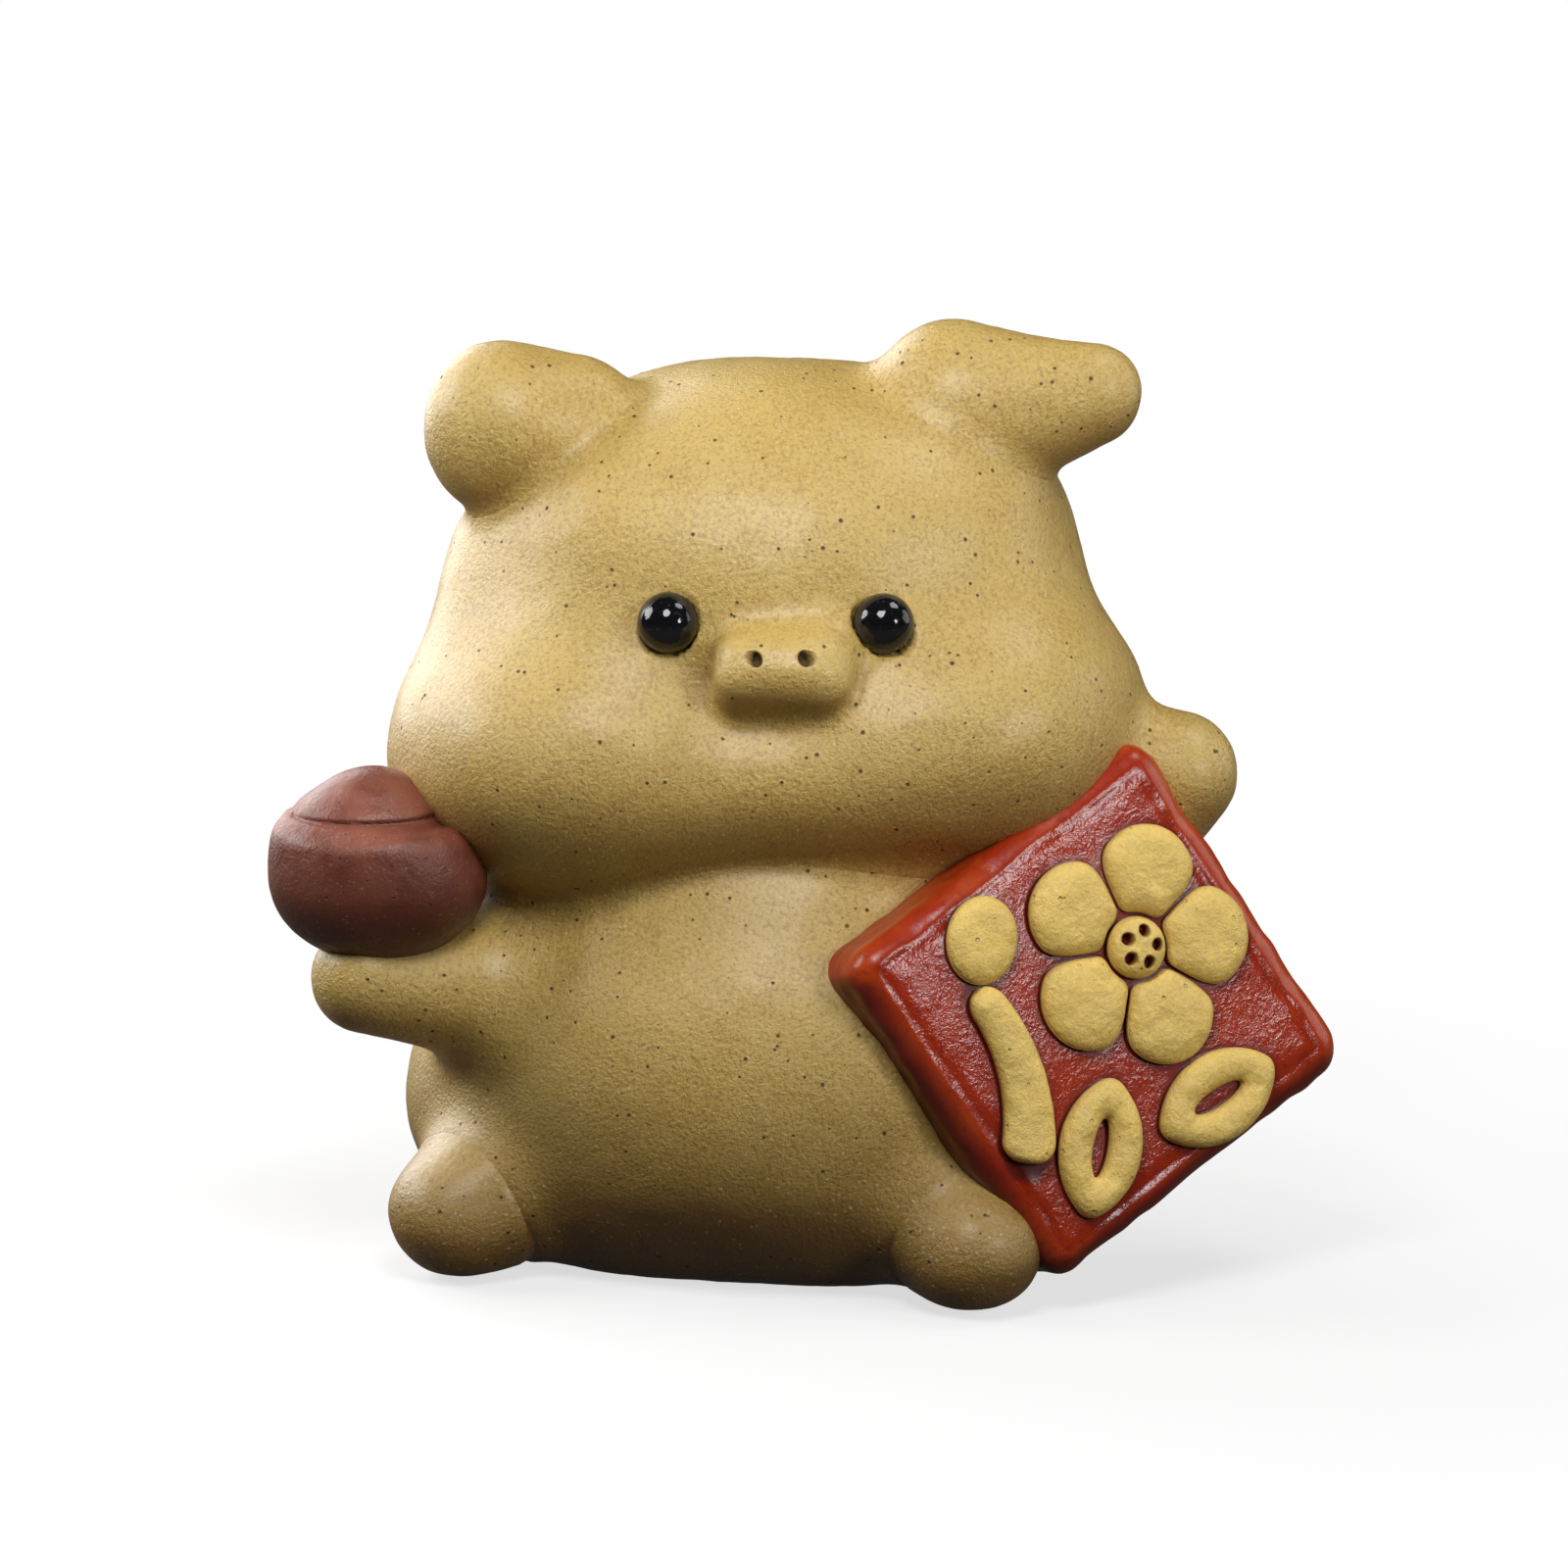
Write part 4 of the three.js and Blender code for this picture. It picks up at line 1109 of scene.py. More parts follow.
def sprig_fill(t, place, paints):
    """The raised pieces' clay: coarser, stained by the glaze round its foot, and glazed in its pits."""
    sand, _, grain, height = sand_nodes(t, place, grains=2100.0, grit=0.15)
    mottled = t.fade(t.noise(place, 3 * MM), 0.3, 0.7, 0.0, 0.4)
    dark_grain = t.fade(grain, 0.35, 0.68, 0.3, 0.0)
    stain = t.math("MAXIMUM", t.mask("pit"), t.mask("foot"))
    shade = layered(
        t,
        paints.sprig,
        (mottled, paints.ochre_pale),
        (dark_grain, paints.ochre),
        (t.times(sand, 0.4), paints.sand),
        (stain, paints.glaze_deep),
    )
    dry = t.math("SUBTRACT", 1.0, stain)
    return {
        "Base Color": shade,
        "Roughness": t.fade(stain, 0.2, 0.8, 0.44, 0.14),
        "Normal": bump(t, t.times(height, dry)),
        "IOR": 1.5,
    }


def red_fill(t, place, paints):
    """The slab's glaze: thin and orange on its edges, dark and crawled on its face, pooled at the relief, and
    with painted shade on the sides that face down.
    """
    face, pool = t.mask("face"), t.mask("pool")
    thin = t.fade(t.noise(place, 6 * MM, 3.0), 0.35, 0.65)
    thick = t.fade(face, 0, 1, 0.0, 0.75)
    curdled = t.fade(t.noise(place, 0.6 * MM, 2.0), 0.5, 0.75, 0.0, 0.4)
    # Painted shade: the sides that face down take the pooled glaze's dark colour
    under = t.fade(t.mask("facing"), 0.15, -0.4, 0.0, 0.92)
    shade = layered(
        t,
        paints.glaze,
        (thin, paints.glaze_pale),
        (thick, paints.glaze),
        (curdled, paints.glaze_deep),
        (t.math("MAXIMUM", pool, under), paints.glaze_deep),
    )
    depth = t.times(t.fade(face, 0, 1, 0.04, 0.10), t.math("SUBTRACT", 1.0, pool))
    inputs = {"Vector": place, "Wrinkles per Metre": 1250.0, "Depth": depth}
    height = t.value("Group", inputs, node_tree=crinkled_group())
    gloss = t.fade(face, 0, 1, 0.30, 0.20)
    return {"Base Color": shade, "Roughness": gloss, "Normal": bump(t, height), "IOR": 1.45}


def black_fill(t, place, paints):
    """The beads' glaze: black, with a few dull specks."""
    dull = t.fade(t.noise(place, 0.35 * MM, 2.0), 0.62, 0.72, 0.0, 0.6)
    return {
        "Base Color": t.blend(dull, paints.black, paints.black_dull),
        "Roughness": t.fade(t.noise(place, 0.5 * MM), 0.45, 0.7, 0.05, 0.16),
        "Normal": bump(t, t.times(t.noise(place, 0.7 * MM, 2.0), 0.03)),
        "IOR": 1.5,
    }


# Operators


class AddTorso(bpy.types.Operator):
    """Adds the hollow torso, open at its base and its neck"""

    bl_idname = "clay_pig.add_torso"
    bl_label = "Torso"

    around = 440
    rows_down = 150
    rows_up = 40

    def execute(self, context):
        scene, clay = context.scene, Clay(context.scene)
        turns = np.linspace(0, 2 * pi, self.around, endpoint=False)
        others = (clay.head, clay.tail, *clay.arms, *clay.feet)
        outer = keep(clay.giving_way(clay.body, *others), grown(clay.body, clay.overhang))
        inner = grown(clay.lining, -scene.pig_torso.wall)
        middle = clay.torso_middle
        hole = follow(inner, np.zeros(3), fan(np.full(self.around, pi / 2), turns))
        bottom = np.arctan2(hole, -middle[2])
        neck = grown(clay.head, -scene.pig_head.wall / 2)
        top = crossing(outer, neck, middle, turns, 0.0, pi / 2)
        surface = shell(outer, inner, middle, turns, top, bottom, self.rows_down, self.rows_up)
        add_clay(clay, "torso_shell", outer, surface)
        return {"FINISHED"}


class AddHead(bpy.types.Operator):
    """Adds the hollow head, open at its neck, with a shallow seat for each eye"""

    bl_idname = "clay_pig.add_head"
    bl_label = "Head"

    around = 460
    rows_down = 160
    rows_up = 30
    crowding_at_face = 0.35
    seat_clearance = 0.3 * MM
    seat_depth = 1.2 * MM
    seat_edge = 0.3 * MM

    def execute(self, context):
        scene, clay = context.scene, Clay(context.scene)
        even = np.linspace(0, 2 * pi, self.around, endpoint=False)
        front = radians(scene.pig_head.turn) - pi / 2
        turns = even - self.crowding_at_face * np.sin(even - front)
        others = (clay.body, clay.snout, *clay.ears)
        skin = keep(clay.giving_way(clay.head, *others), grown(clay.head, clay.overhang))
        seat_width = scene.pig_face.bead + self.seat_clearance
        for eye in clay.eyes:
            seat = egg(eye, (seat_width, self.seat_depth, seat_width), clay.face_turn)
            skin = keep(skin, outside(seat), self.seat_edge)
        inner = grown(clay.head, -scene.pig_head.wall)
        middle = clay.head_middle
        neck = grown(clay.torso, -scene.pig_torso.wall / 2)
        bottom = crossing(skin, outside(neck), middle, turns, pi / 2, pi)
        surface = shell(skin, inner, middle, turns, None, bottom, self.rows_down, self.rows_up)
        add_clay(clay, "head_shell", skin, surface)
        return {"FINISHED"}


class AddEars(bpy.types.Operator):
    """Adds both ears"""

    bl_idname = "clay_pig.add_ears"
    bl_label = "Ears"

    squares = 48

    def execute(self, context):
        clay = Clay(context.scene)
        for node, ear, middle in zip(("ear_right", "ear_left"), clay.ears, clay.ear_middles):
            lump = clay.limb_field(ear, context.scene.pig_ears.left_blend, clay.head)
            add_clay(clay, node, lump, mould(lump, middle, self.squares))
        return {"FINISHED"}


class AddSnout(bpy.types.Operator):
    """Adds the snout with its two poked nostrils"""

    bl_idname = "clay_pig.add_snout"
    bl_label = "Snout"

    squares = 110
    nostril_edge = 0.2 * MM
    # Painted shade that darkens the nostrils' insides and fades out just beyond their edge
    nostril_shade_start = 0.9
    nostril_shade_width = 0.12 * MM

    def execute(self, context):
        s, clay = context.scene.pig_face, Clay(context.scene)
        lump = clay.limb_field(clay.snout, s.bridge_blend, clay.head)
        nostrils = []
        for side in (-1, 1):
            local = point(side * s.nostril_spacing / 2, -s.snout[1] / 2, s.nostril_lift)
            place = clay.snout_middle + clay.snout_turn @ local
            nostrils.append(egg(place, s.nostril, clay.snout_turn @ turned(0, s.nostril_roll)))
            lump = keep(lump, outside(nostrils[-1]), self.nostril_edge)
        proportions = np.array(s.snout) / s.snout[0]
        surface = mould(lump, clay.snout_middle, self.squares, proportions, clay.snout_turn)
        # Painted shade inside the nostrils, kept in the pit mask
        nostril_shade = np.clip(self.nostril_shade_start - nearest(*nostrils)(surface[0]) / self.nostril_shade_width, 0, 1)
        add_clay(clay, "snout", lump, surface, {"pit": nostril_shade})
        return {"FINISHED"}


class AddEyes(bpy.types.Operator):
    """Adds the two glazed beads"""

    bl_idname = "clay_pig.add_eyes"
    bl_label = "Eyes"

    squares = 20
    unevenness = 0.012
    uneven_pitch = 1.6 * MM

    def execute(self, context):
        bead, clay = context.scene.pig_face.bead, Clay(context.scene)
        for node, eye in zip(("eye_right", "eye_left"), clay.eyes):
            points, faces = mould(egg(eye, (bead, bead, bead)), eye, self.squares)
            points += (points - eye) * self.unevenness * lattice_noise(points, self.uneven_pitch, 4)[:, None]
            add_piece(node, points + clay.shift, faces, material("bead_glaze", black_fill))
        return {"FINISHED"}


class AddLimbs(bpy.types.Operator):
    """Adds the arms, the feet and the tail"""

    bl_idname = "clay_pig.add_limbs"
    bl_label = "Arms, feet and tail"

    squares = 56
    tail_squares = 36

    def execute(self, context):
        s, clay = context.scene.pig_limbs, Clay(context.scene)
        for kind, limbs, middles, blend in (
            ("arm", clay.arms, clay.arm_middles, s.arm_blend),
            ("foot", clay.feet, clay.foot_middles, s.foot_blend),
        ):
            for side, part, middle in zip(("right", "left"), limbs, middles):
                self.add_limb(clay, f"{kind}_{side}", part, middle, blend, self.squares)
        self.add_limb(clay, "tail", clay.tail, clay.tail_middle, s.tail_blend, self.tail_squares)
        return {"FINISHED"}

    def add_limb(self, clay, node, part, middle, blend, squares):
        lump = clay.limb_field(part, blend)
        add_clay(clay, node, lump, mould(lump, middle, squares))


class AddIngot(bpy.types.Operator):
    """Adds the ingot's boat and the dome seated in it"""

    bl_idname = "clay_pig.add_ingot"
    bl_label = "Ingot"

    overlap = 0.8 * MM
    handwork_share = 0.7
    boat_squares = 72
    dome_squares = 56

    def execute(self, context):
        clay = Clay(context.scene)
        for node, part, middle, squares in (
            ("ingot_boat", clay.boat, clay.ingot_middle, self.boat_squares),
            ("ingot_dome", clay.dome, clay.dome_middle, self.dome_squares),
        ):
            lump = keep(clay.ingot, grown(part, self.overlap))
            points, faces = mould(lump, middle, squares)
            normal = slope(lump, points)
            worked = points + normal * handwork(points)[:, None] * self.handwork_share
            masks = {"hollow": hollowness(clay.ingot, points), "facing": normal[:, 2]}
            add_piece(node, worked + clay.shift, faces, material("brick_clay", brick_fill), masks)
        return {"FINISHED"}


class Relief:
    """Outlines of the raised pieces on the slab's face, in its plane, with up towards its top corner."""

    upright = turned(-45)
    petal_angles = tuple(90 + 72 * index for index in range(5))
    petal_corner = 1.2 * MM
    petal_foot = 0.8 * MM
    leaf_tip = 0.8 * MM
    twig_steps = 60
    twig_round = 7

    def __init__(self, scene):
        s = scene.pig_relief
        self.sizes = s
        self.blossom = np.array((s.blossom_across, s.blossom_up))
        self.petals = [self.petal(angle_round) for angle_round in self.petal_angles]
        self.heart = oval(self.blossom, (s.heart, s.heart), 0)
        self.bud_middle = self.around(s.bud_angle, s.bud_width / 2)
        self.bud = oval(self.bud_middle, (s.bud_width, s.bud_length), 0)
        self.leaves = [
            self.leaf(self.around(s.upper_leaf, s.leaf_width / 2), s.upper_leaf + 90),
            self.leaf(self.around(s.lower_leaf, s.leaf_length / 2), s.lower_leaf),
        ]
        self.make_twig(scene.pig_slab.side)

    def around(self, angle_round, away):
        """The middle of a piece that keeps clear of the blossom, in one direction from it."""
        s = self.sizes
        reach = s.petal_reach + s.petal_length / 2 + s.clearance + away
        return self.blossom + reach * flat_way(angle_round)

    def petal(self, angle_round):
        """An oval, cut to its share of the turn and back from the heart."""
        s, way, side = self.sizes, flat_way(angle_round), flat_way(angle_round + 90)
        middle = self.blossom + way * s.petal_reach
        body = oval(middle, (s.petal_length, s.petal_width), angle_round)
        heart = oval(self.blossom, (s.heart + 2 * s.gap,) * 2, 0)

        half_turn = pi / len(self.petal_angles)

        def sector(places):
            out = places - self.blossom
            return (np.abs(out @ side) - np.tan(half_turn) * (out @ way)) * cos(half_turn) + s.gap / 2

        return keep(keep(body, sector, self.petal_corner), outside(heart), self.petal_foot), middle

    def leaf(self, middle, angle_round):
        """The space between two arcs through the leaf's tips, with a slot along its middle.

        An arc's radius is the sum of the squares of length and width, over four times the width.
        """
        s, side = self.sizes, flat_way(angle_round + 90)
        radius = (s.leaf_length**2 + s.leaf_width**2) / s.leaf_width / 4
        arcs = [disc(middle + side * sign * (radius - s.leaf_width / 2), radius) for sign in (-1, 1)]
        slot = oval(middle, (s.slot_length, s.slot_width), angle_round)
        return keep(*arcs, self.leaf_tip), slot, middle

    def make_twig(self, slab_side):
        """The twig's line, part of a parabola, and half its width along it, drawn in at both ends."""
        s = self.sizes
        start = np.array((-s.twig_foot, s.twig_foot + s.margin - slab_side / np.sqrt(2)))
        end = self.bud_middle - (0, s.bud_length / 2 + s.clearance)
        along = end - start
        aside = np.array((-along[1], along[0])) / np.hypot(*along)
        bend = (start + end) / 2 - aside * s.twig_bend
        share = np.linspace(0, 1, self.twig_steps)[:, None]
        self.twig_line = (1 - share) ** 2 * start + 2 * share * (1 - share) * bend + share**2 * end
        steps = np.arange(self.twig_steps)
        from_end = np.minimum(steps, steps[::-1]) / self.twig_round
        drawn = np.sqrt(1 - np.clip(1 - from_end, 0, 1) ** 2)
        self.twig_half = (s.twig_width + (s.twig_tip - s.twig_width) * share[:, 0]) / 2 * drawn

    def twig(self, places):
        away = lengths(places[:, None] - self.twig_line[None]) - self.twig_half
        return away.min(1)

    def nearest_edge(self, places):
        """The distance to the nearest raised piece; a leaf's slot counts as outside."""
        fields = [petal(places) for petal, _ in self.petals] + [self.heart(places), self.bud(places)]
        fields += [np.maximum(leaf(places), -slot(places)) for leaf, slot, _ in self.leaves]
        return np.minimum.reduce([*fields, self.twig(places)])


def flat_way(angle_round):
    return np.array((cos(radians(angle_round)), sin(radians(angle_round))))


def disc(middle, radius):
    return lambda places: lengths(places - middle) - radius


def oval(middle, size2, angle_round):
    """An ellipse in the plane, worked out as the ellipsoid is."""
    turn = np.stack([flat_way(angle_round), flat_way(angle_round + 90)], 1)
    return egg(middle, size2, turn)


def pillow(outline, middle, height, shoulder, around=96, rings=26, slot=None):
    """A raised flat form: from its foot straight up, then a soft shoulder that levels off inside the outline.

    Each ring is a share of the way from the middle, or from the slot's edge, out to the outline. The
    height at a distance inside the edge is a rounded step: 1 less (1 less distance over shoulder) to
    a power, to the power 1 over that power.
    """
    power, least = 2.4, 0.25
    turns = np.linspace(0, 2 * pi, around, endpoint=False)
    ways = np.stack([np.cos(turns), np.sin(turns)], -1)
    far = follow(outline, middle, ways)
    if slot:
        near = follow(slot, middle, ways)
        share = (1 - np.cos(np.linspace(0, pi, rings))) / 2
    else:
        near = np.zeros(around)
        share = np.sin(np.linspace(0, pi / 2, rings))
    reach = near + share[:, None] * (far - near)
    flat = middle + reach[..., None] * ways
    edge = np.minimum(-outline(flat), slot(flat)) if slot else -outline(flat)
    step = np.clip(1 - np.maximum(edge, 0) / shoulder, 0, 1)
    rise = height * np.maximum((1 - step**power) ** (1 / power), least)
    if slot is None:
        rise[0] = rise[1].mean()
    return flat, rise


def raise_form(flat, rise, sink, closed):
    """The raised rows as one closed surface, whose foot is sunk into the slab."""
    rings, around = rise.shape
    top = np.concatenate([flat, rise[..., None]], -1)
    low = np.full((1, around, 1), -sink)
    foot = np.concatenate([flat[-1:], low], -1)
    if closed:
        inner = np.concatenate([flat[:1], low], -1)
        rows = np.concatenate([top, foot, inner])
        return rows.reshape(-1, 3), [strips(rings + 2, around, closed=True)]
    rows = np.concatenate([top[1:], foot]).reshape(-1, 3)
    middle = top[0, 0]
    ends = [middle, (middle[0], middle[1], -sink)]
    return np.concatenate([rows, ends]), ended(rings, around)


class AddSlab(bpy.types.Operator):
    """Adds the slab with its worn edges and its crawled glaze"""

    bl_idname = "clay_pig.add_slab"
    bl_label = "Slab"

    squares = 110
    # Wear takes most off the edges, where the glaze ran thin. Lengths here are in millimetres
    wear_reach = 2.4
    wear_depth = 0.38
    wear_most = 1.3
    edge_swell = 0.15
    wear_layers = ((0.5, 3.8, 5), (0.35, 1.5, 6))
    sag_layers = ((0.12, 6, 9), (0.3, 17, 11))
    # The wandering line at which the face's thick glaze starts, and the glaze that pools along it
    rim_inset = 2.1
    rim_wander = 0.6
    rim_width = 0.32
    rim_depth = 0.12
    rim_pool = 0.55
    rim_layer = (0.5, 3, 10)
    face_inset = 1.2
    face_fade = 0.8
    face_depth = 0.8
    face_rise = 0.5
    pool_reach = 0.38

    def execute(self, context):
        s, clay, relief = context.scene.pig_slab, Clay(context.scene), Relief(context.scene)
        size3 = np.array((s.side, s.side, s.thickness))
        block = tablet(size3, s.corner, s.edge)
        points, faces = mould(block, np.zeros(3), self.squares, size3 / s.side)
        normal = slope(block, points)
        inside = (size3[:2] / 2 - np.abs(points[:, :2])).min(1) / MM
        at_edge = np.exp(-((inside / self.wear_reach) ** 2))
        worn = np.clip(0.5 + roughness(points, *self.wear_layers), 0, self.wear_most)
        uneven = at_edge * (self.edge_swell - self.wear_depth * worn) + roughness(points, *self.sag_layers)
        wave = roughness(points, self.rim_layer)
        from_rim = inside - self.rim_inset - self.rim_wander * wave
        rim_line = np.exp(-((from_rim / self.rim_width) ** 2)) * (points[:, 2] > 0)
        points = points + normal * (uneven - self.rim_depth * rim_line)[:, None] * MM
        below_face = (s.thickness / 2 - points[:, 2]) / MM
        face = np.clip((self.face_depth - below_face) / self.face_rise, 0, 1)
        face *= np.clip((inside - self.face_inset - self.rim_wander * wave) / self.face_fade, 0, 1)
        gap = np.maximum(relief.nearest_edge(points[:, :2] @ relief.upright[:2, :2]), 0) / MM
        line_pool = self.rim_pool * rim_line * np.clip(0.5 + wave, 0, 1)
        pool = np.maximum(np.exp(-gap / self.pool_reach) * face, line_pool)
        masks = {"face": face, "pool": pool, "facing": (normal @ clay.slab_turn.T)[:, 2]}
        finish = material("slab_glaze", red_fill)
        add_piece("tile_slab", clay.on_slab(points), faces, finish, masks)
        return {"FINISHED"}


def add_raised(clay, scene, node, surface, pit=None):
    """A raised piece, grained all over and stained round its foot, set on the slab's face."""
    grain_start, stain_top, stain_fade = 0.5, 0.1, 0.35
    points, faces = surface
    grain = roughness(points, (0.085, 1.1, 7), (0.04, 0.5, 8))
    grain *= np.clip(points[:, 2] / MM / grain_start, 0, 1)
    points = points + UP * grain[:, None] * MM
    foot = np.clip(1 - (points[:, 2] / MM - stain_top) / stain_fade, 0, 1)
    masks = {"foot": foot, "pit": np.zeros(len(points)) if pit is None else pit}
    placed = clay.on_slab(points @ Relief.upright.T + UP * scene.pig_slab.thickness / 2)
    add_piece(node, placed, faces, material("sprig_clay", sprig_fill), masks)


class AddBlossom(bpy.types.Operator):
    """Adds the blossom's petals and heart, and the bud"""

    bl_idname = "clay_pig.add_blossom"
    bl_label = "Blossom and bud"

    shoulder = 2.2 * MM
    heart_shoulder = 1.8 * MM
    heart_around = 120
    heart_rings = 40
    pit_depth = 0.9 * MM
    stain_reach = 1.25

    def execute(self, context):
        scene, clay, relief = context.scene, Clay(context.scene), Relief(context.scene)
        forms = [(f"relief_petal_{i + 1}", *petal) for i, petal in enumerate(relief.petals)]
        forms.append(("relief_bud", relief.bud, relief.bud_middle))
        for node, outline, middle in forms:
            rows = pillow(outline, middle, relief.sizes.height, self.shoulder)
            add_raised(clay, scene, node, raise_form(*rows, relief.sizes.gap, closed=False))
        self.add_heart(clay, scene, relief)
        return {"FINISHED"}

    def add_heart(self, clay, scene, relief):
        """The blossom's heart, with a small pit towards each petal."""
        s = relief.sizes
        grid = (self.heart_around, self.heart_rings)
        rows = pillow(relief.heart, relief.blossom, s.heart_height, self.heart_shoulder, *grid)
        points, faces = raise_form(*rows, s.gap, closed=False)
        ring = relief.blossom + s.pit_ring * np.array([flat_way(angle) for angle in relief.petal_angles])
        near = lengths(points[:, None, :2] - ring[None]).min(1) / (s.pit / 2)
        on_top = points[:, 2] > 0
        pit = np.clip(2 * (self.stain_reach - near), 0, 1) * on_top
        points[:, 2] -= self.pit_depth * np.clip(1 - near**4, 0, 1) * on_top
        add_raised(clay, scene, "relief_heart", (points, faces), pit)


class AddTwig(bpy.types.Operator):
    """Adds the bent twig and the two leaves"""

    bl_idname = "clay_pig.add_twig"
    bl_label = "Twig and leaves"

    shoulder = 1.5 * MM
    leaf_around = 140
    leaf_rings = 26
    twig_around = 40
    twig_power = 0.7

    def execute(self, context):
        scene, clay, relief = context.scene, Clay(context.scene), Relief(context.scene)
        s, grid = relief.sizes, (self.leaf_around, self.leaf_rings)
        for node, (outline, slot, middle) in zip(("relief_leaf_upper", "relief_leaf_lower"), relief.leaves):
            rows = pillow(outline, middle, s.height, self.shoulder, *grid, slot)
            add_raised(clay, scene, node, raise_form(*rows, s.gap, closed=True))
        add_raised(clay, scene, "relief_twig", self.twig_surface(relief))
        return {"FINISHED"}

    def twig_surface(self, relief):
        """A flat-bottomed round section carried along the twig's line, drawn in at both ends."""
        s, line = relief.sizes, relief.twig_line
        along = np.gradient(line, axis=0)
        aside = np.stack([-along[:, 1], along[:, 0]], -1) / lengths(along)[:, None]
        turns = np.linspace(0, 2 * pi, self.twig_around, endpoint=False)
        cosines, sines = np.cos(turns), np.sin(turns)
        across = np.sign(cosines) * np.abs(cosines) ** self.twig_power
        rise = np.where(sines > 0, s.height * np.abs(sines) ** self.twig_power, s.gap * sines)
        half = relief.twig_half[1:-1, None]
        flat = line[1:-1, None] + aside[1:-1, None] * (half * across)[..., None]
        rise = rise * np.minimum(half / s.twig_tip * 2, 1)
        points = np.concatenate([flat, rise[..., None]], -1).reshape(-1, 3)
        ends = np.concatenate([line[[0, -1]], np.zeros((2, 1))], 1)
        return np.concatenate([points, ends]), ended(len(half), self.twig_around)


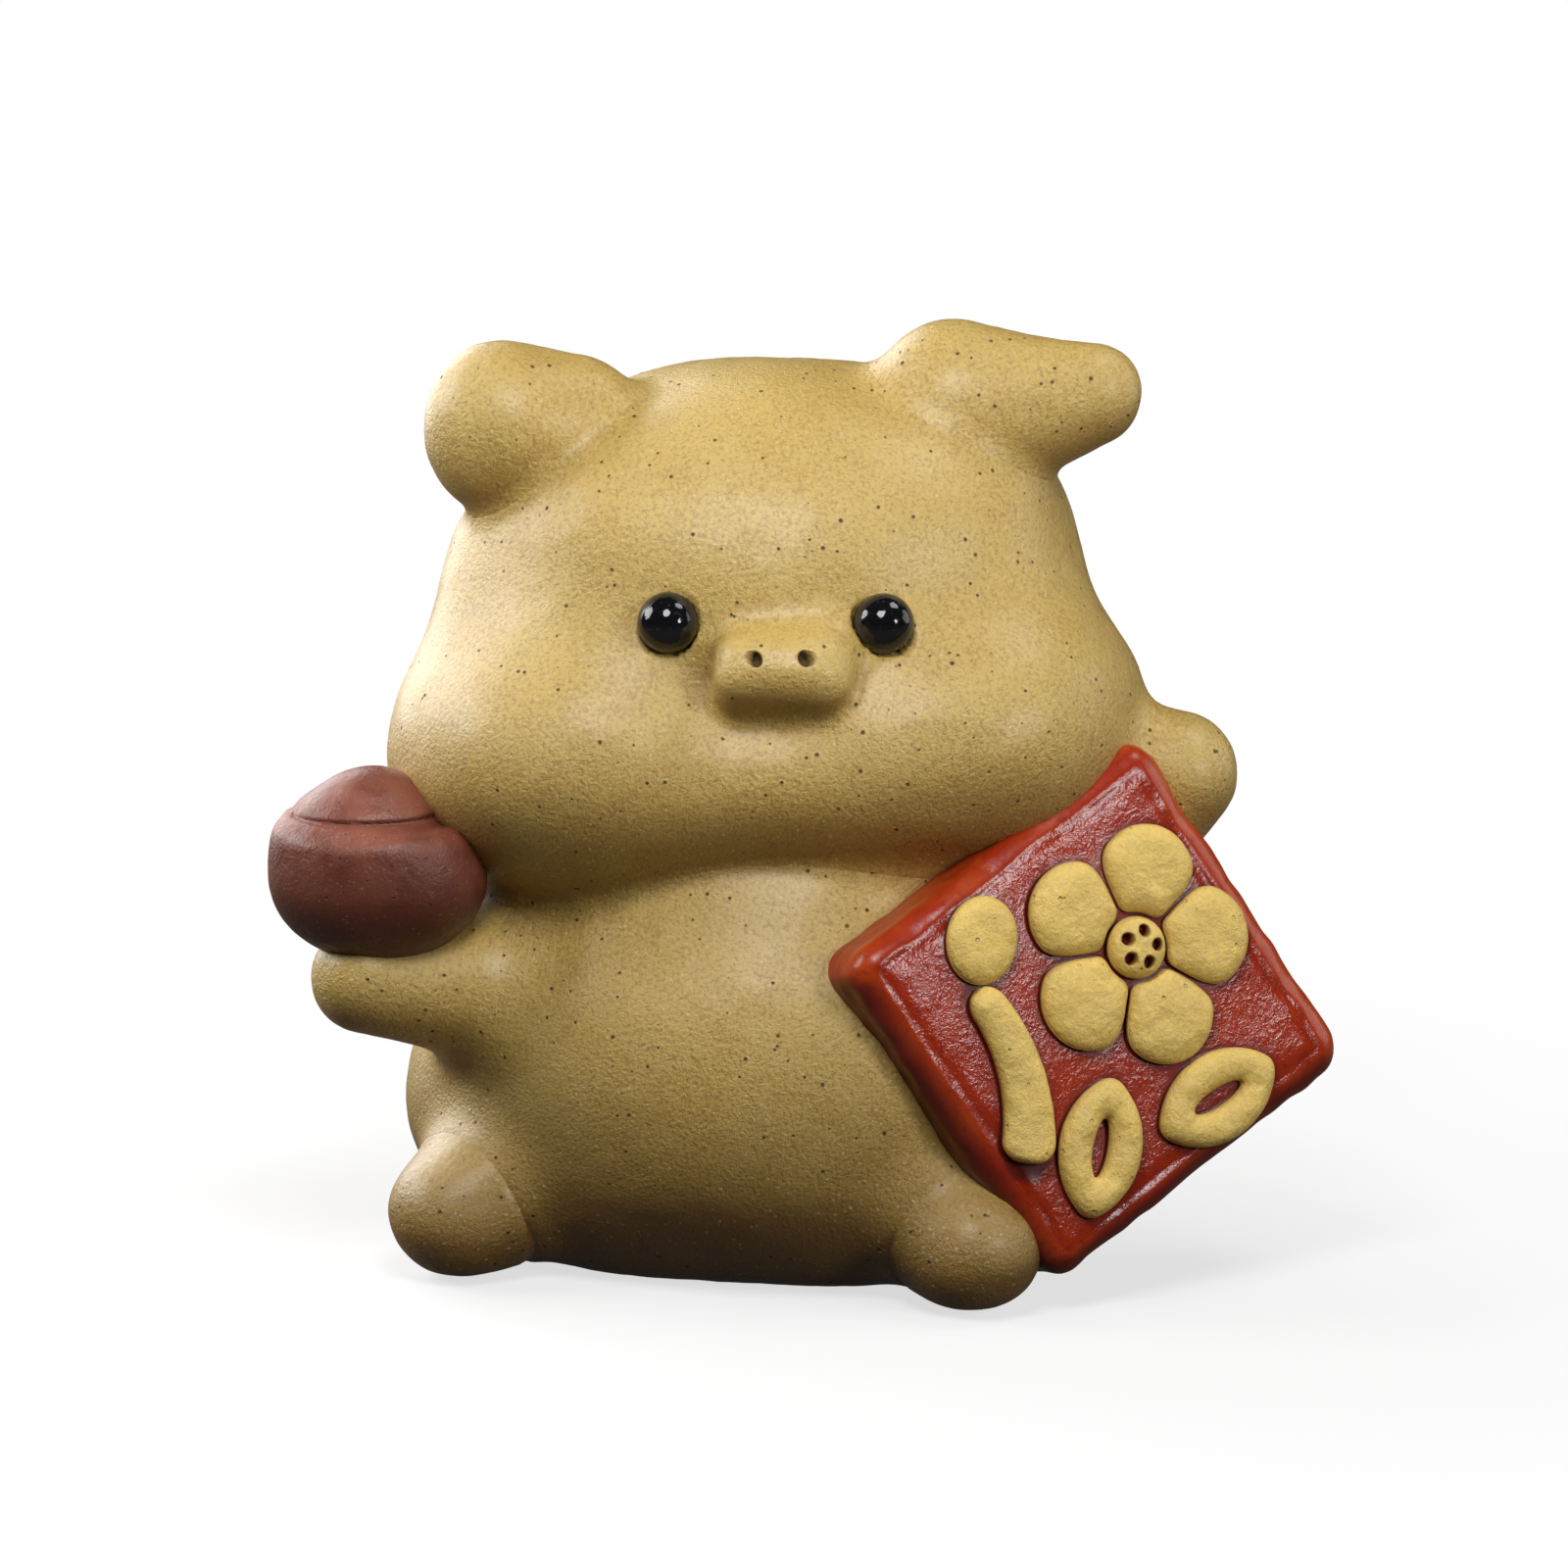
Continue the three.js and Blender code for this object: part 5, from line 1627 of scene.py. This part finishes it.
class AddStage(bpy.types.Operator):
    """Adds the floor, the lamps, the pale surroundings and the camera"""

    bl_idname = "clay_pig.add_stage"
    bl_label = "Stage"

    camera_turn = 14.0
    camera_rise = 12.0
    distance = 0.6
    nearest_seen = 0.01
    sensor_width = 36
    image_width = 1600
    image_metres = 0.12
    axis_pixel = (785, 1255)
    pale_in_gloss = 0.06
    room_level = 0.008
    floor_reach = 1.5
    # How far out the floor turns white, and how white it is before and beyond that
    white_from, white_to = 0.03, 0.11
    white_least, white_most = 0.68, 1.0
    lamps_aim = 0.045
    # Name, bearing, rise, distance, width, and the level that it lights a white surface to
    lamps = (
        ("key_lamp", 4, 43, 0.14, 0.06, 0.62),
        ("high_lamp", 100, 60, 0.20, 0.08, 0.24),
        ("side_lamp", 58, 16, 0.28, 0.07, 0.28),
        ("right_lamp", 112, 15, 0.26, 0.16, 0.18),
        ("left_lamp", -78, 26, 0.24, 0.12, 0.55),
        ("rim_lamp", -122, 22, 0.25, 0.24, 0.98),
    )

    def execute(self, context):
        scene = context.scene
        clay = Clay(scene)
        back = bearing(self.camera_turn, self.camera_rise)
        right = bearing(self.camera_turn + 90)
        up = np.cross(back, right)
        pixel = self.image_metres / self.image_width
        aside = (self.image_width / 2 - self.axis_pixel[0]) * pixel
        lift = (self.axis_pixel[1] - self.image_width / 2) * pixel
        target = right * aside + up * lift + clay.shift
        data = bpy.data.cameras.new("camera")
        data.sensor_width = self.sensor_width
        data.lens = data.sensor_width * self.distance / self.image_metres
        data.clip_start = self.nearest_seen
        camera = added("camera", data)
        basis = Matrix(np.stack([right, up, back], 1).tolist()).to_4x4()
        camera.matrix_world = Matrix.Translation(Vector(target + back * self.distance)) @ basis
        scene.camera = camera
        self.add_floor(scene)
        self.add_lamps()
        self.add_world(scene)
        scene.view_settings.view_transform = "Standard"
        return {"FINISHED"}

    def add_floor(self, scene):
        """A pale floor that runs out into white; light that bounces off it is kept low."""
        mesh = bpy.data.meshes.new("floor")
        reach = self.floor_reach
        corners = [(-reach, -reach, 0), (reach, -reach, 0), (reach, reach, 0), (-reach, reach, 0)]
        mesh.from_pydata(corners, [], [(0, 1, 2, 3)])
        floor = added("floor", mesh)
        made = bpy.data.materials.new("floor")
        t = emptied(made)
        seen = self.background(t)
        paints = scene.pig_finishes
        plain = t.value("BsdfDiffuse", {"Color": t.blend(seen, paints.floor_bounce, paints.floor)})
        white = t.value("Emission", {"Color": WHITE, "Strength": 1.0})
        place = t.node("TexCoord").outputs["Object"]
        away = t.node("VectorMath", {0: place}, operation="LENGTH").outputs["Value"]
        whiteness = t.fade(away, self.white_from, self.white_to, self.white_least, self.white_most)
        share = t.times(whiteness, seen)
        t.node("OutputMaterial", {"Surface": t.value("MixShader", {0: share, 1: plain, 2: white})})
        mesh.materials.append(made)

    def background(self, t):
        """How much of the pale background a ray sees: all from the camera or glass, part from gloss."""
        rays = t.node("LightPath").outputs
        clear = t.math("MAXIMUM", rays["Is Camera Ray"], rays["Is Transmission Ray"])
        return t.math("MAXIMUM", clear, t.times(rays["Is Glossy Ray"], self.pale_in_gloss))

    def add_lamps(self):
        """Each lamp is a soft panel at a bearing, a rise and a distance from the pig, turned to face it.

        Its power is its level times the square of pi times the distance.
        """
        middle = point(z=self.lamps_aim)
        for name, across, rise, away, width, level in self.lamps:
            data = bpy.data.lights.new(name, "AREA")
            data.shape = "DISK"
            data.size = width
            data.energy = level * (pi * away) ** 2
            lamp = added(name, data)
            way = bearing(across, rise)
            turn = Vector(way).to_track_quat("Z", "Y").to_matrix().to_4x4()
            lamp.matrix_world = Matrix.Translation(Vector(middle + way * away)) @ turn

    def add_world(self, scene):
        """A pale room that is seen behind the pig and hardly lights it."""
        world = bpy.data.worlds.new("pale_room")
        scene.world = world
        t = emptied(world)
        strength = t.fade(self.background(t), 0, 1, self.room_level, 1.0)
        light = t.value("Background", {"Color": WHITE, "Strength": strength})
        t.node("OutputWorld", {"Surface": light})


class ClayPigPanel(bpy.types.Panel):
    """Lists what builds the figurine"""

    bl_idname = "VIEW3D_PT_clay_pig"
    bl_label = "Clay Pig"
    bl_space_type = "VIEW_3D"
    bl_region_type = "UI"
    bl_category = "Clay Pig"

    def draw(self, context):
        for operator in OPERATORS:
            self.layout.operator(operator.bl_idname)


GROUPS = {
    "pig_torso": TorsoSizes,
    "pig_head": HeadSizes,
    "pig_face": FaceSizes,
    "pig_ears": EarSizes,
    "pig_limbs": LimbSizes,
    "pig_ingot": IngotSizes,
    "pig_slab": SlabSizes,
    "pig_relief": ReliefSizes,
    "pig_finishes": Finishes,
}
OPERATORS = (
    AddStage,
    AddTorso,
    AddHead,
    AddEars,
    AddSnout,
    AddEyes,
    AddLimbs,
    AddIngot,
    AddSlab,
    AddBlossom,
    AddTwig,
)


def register():
    for item in (*GROUPS.values(), *OPERATORS, ClayPigPanel):
        bpy.utils.register_class(item)
    for name, item in GROUPS.items():
        setattr(bpy.types.Scene, name, PointerProperty(type=item))


def unregister():
    for name in GROUPS:
        delattr(bpy.types.Scene, name)
    for item in (ClayPigPanel, *reversed(OPERATORS), *reversed(GROUPS.values())):
        bpy.utils.unregister_class(item)


def main():
    register()
    for operator in OPERATORS:
        module, name = operator.bl_idname.split(".")
        getattr(getattr(bpy.ops, module), name)()


if __name__ == "__main__":
    main()
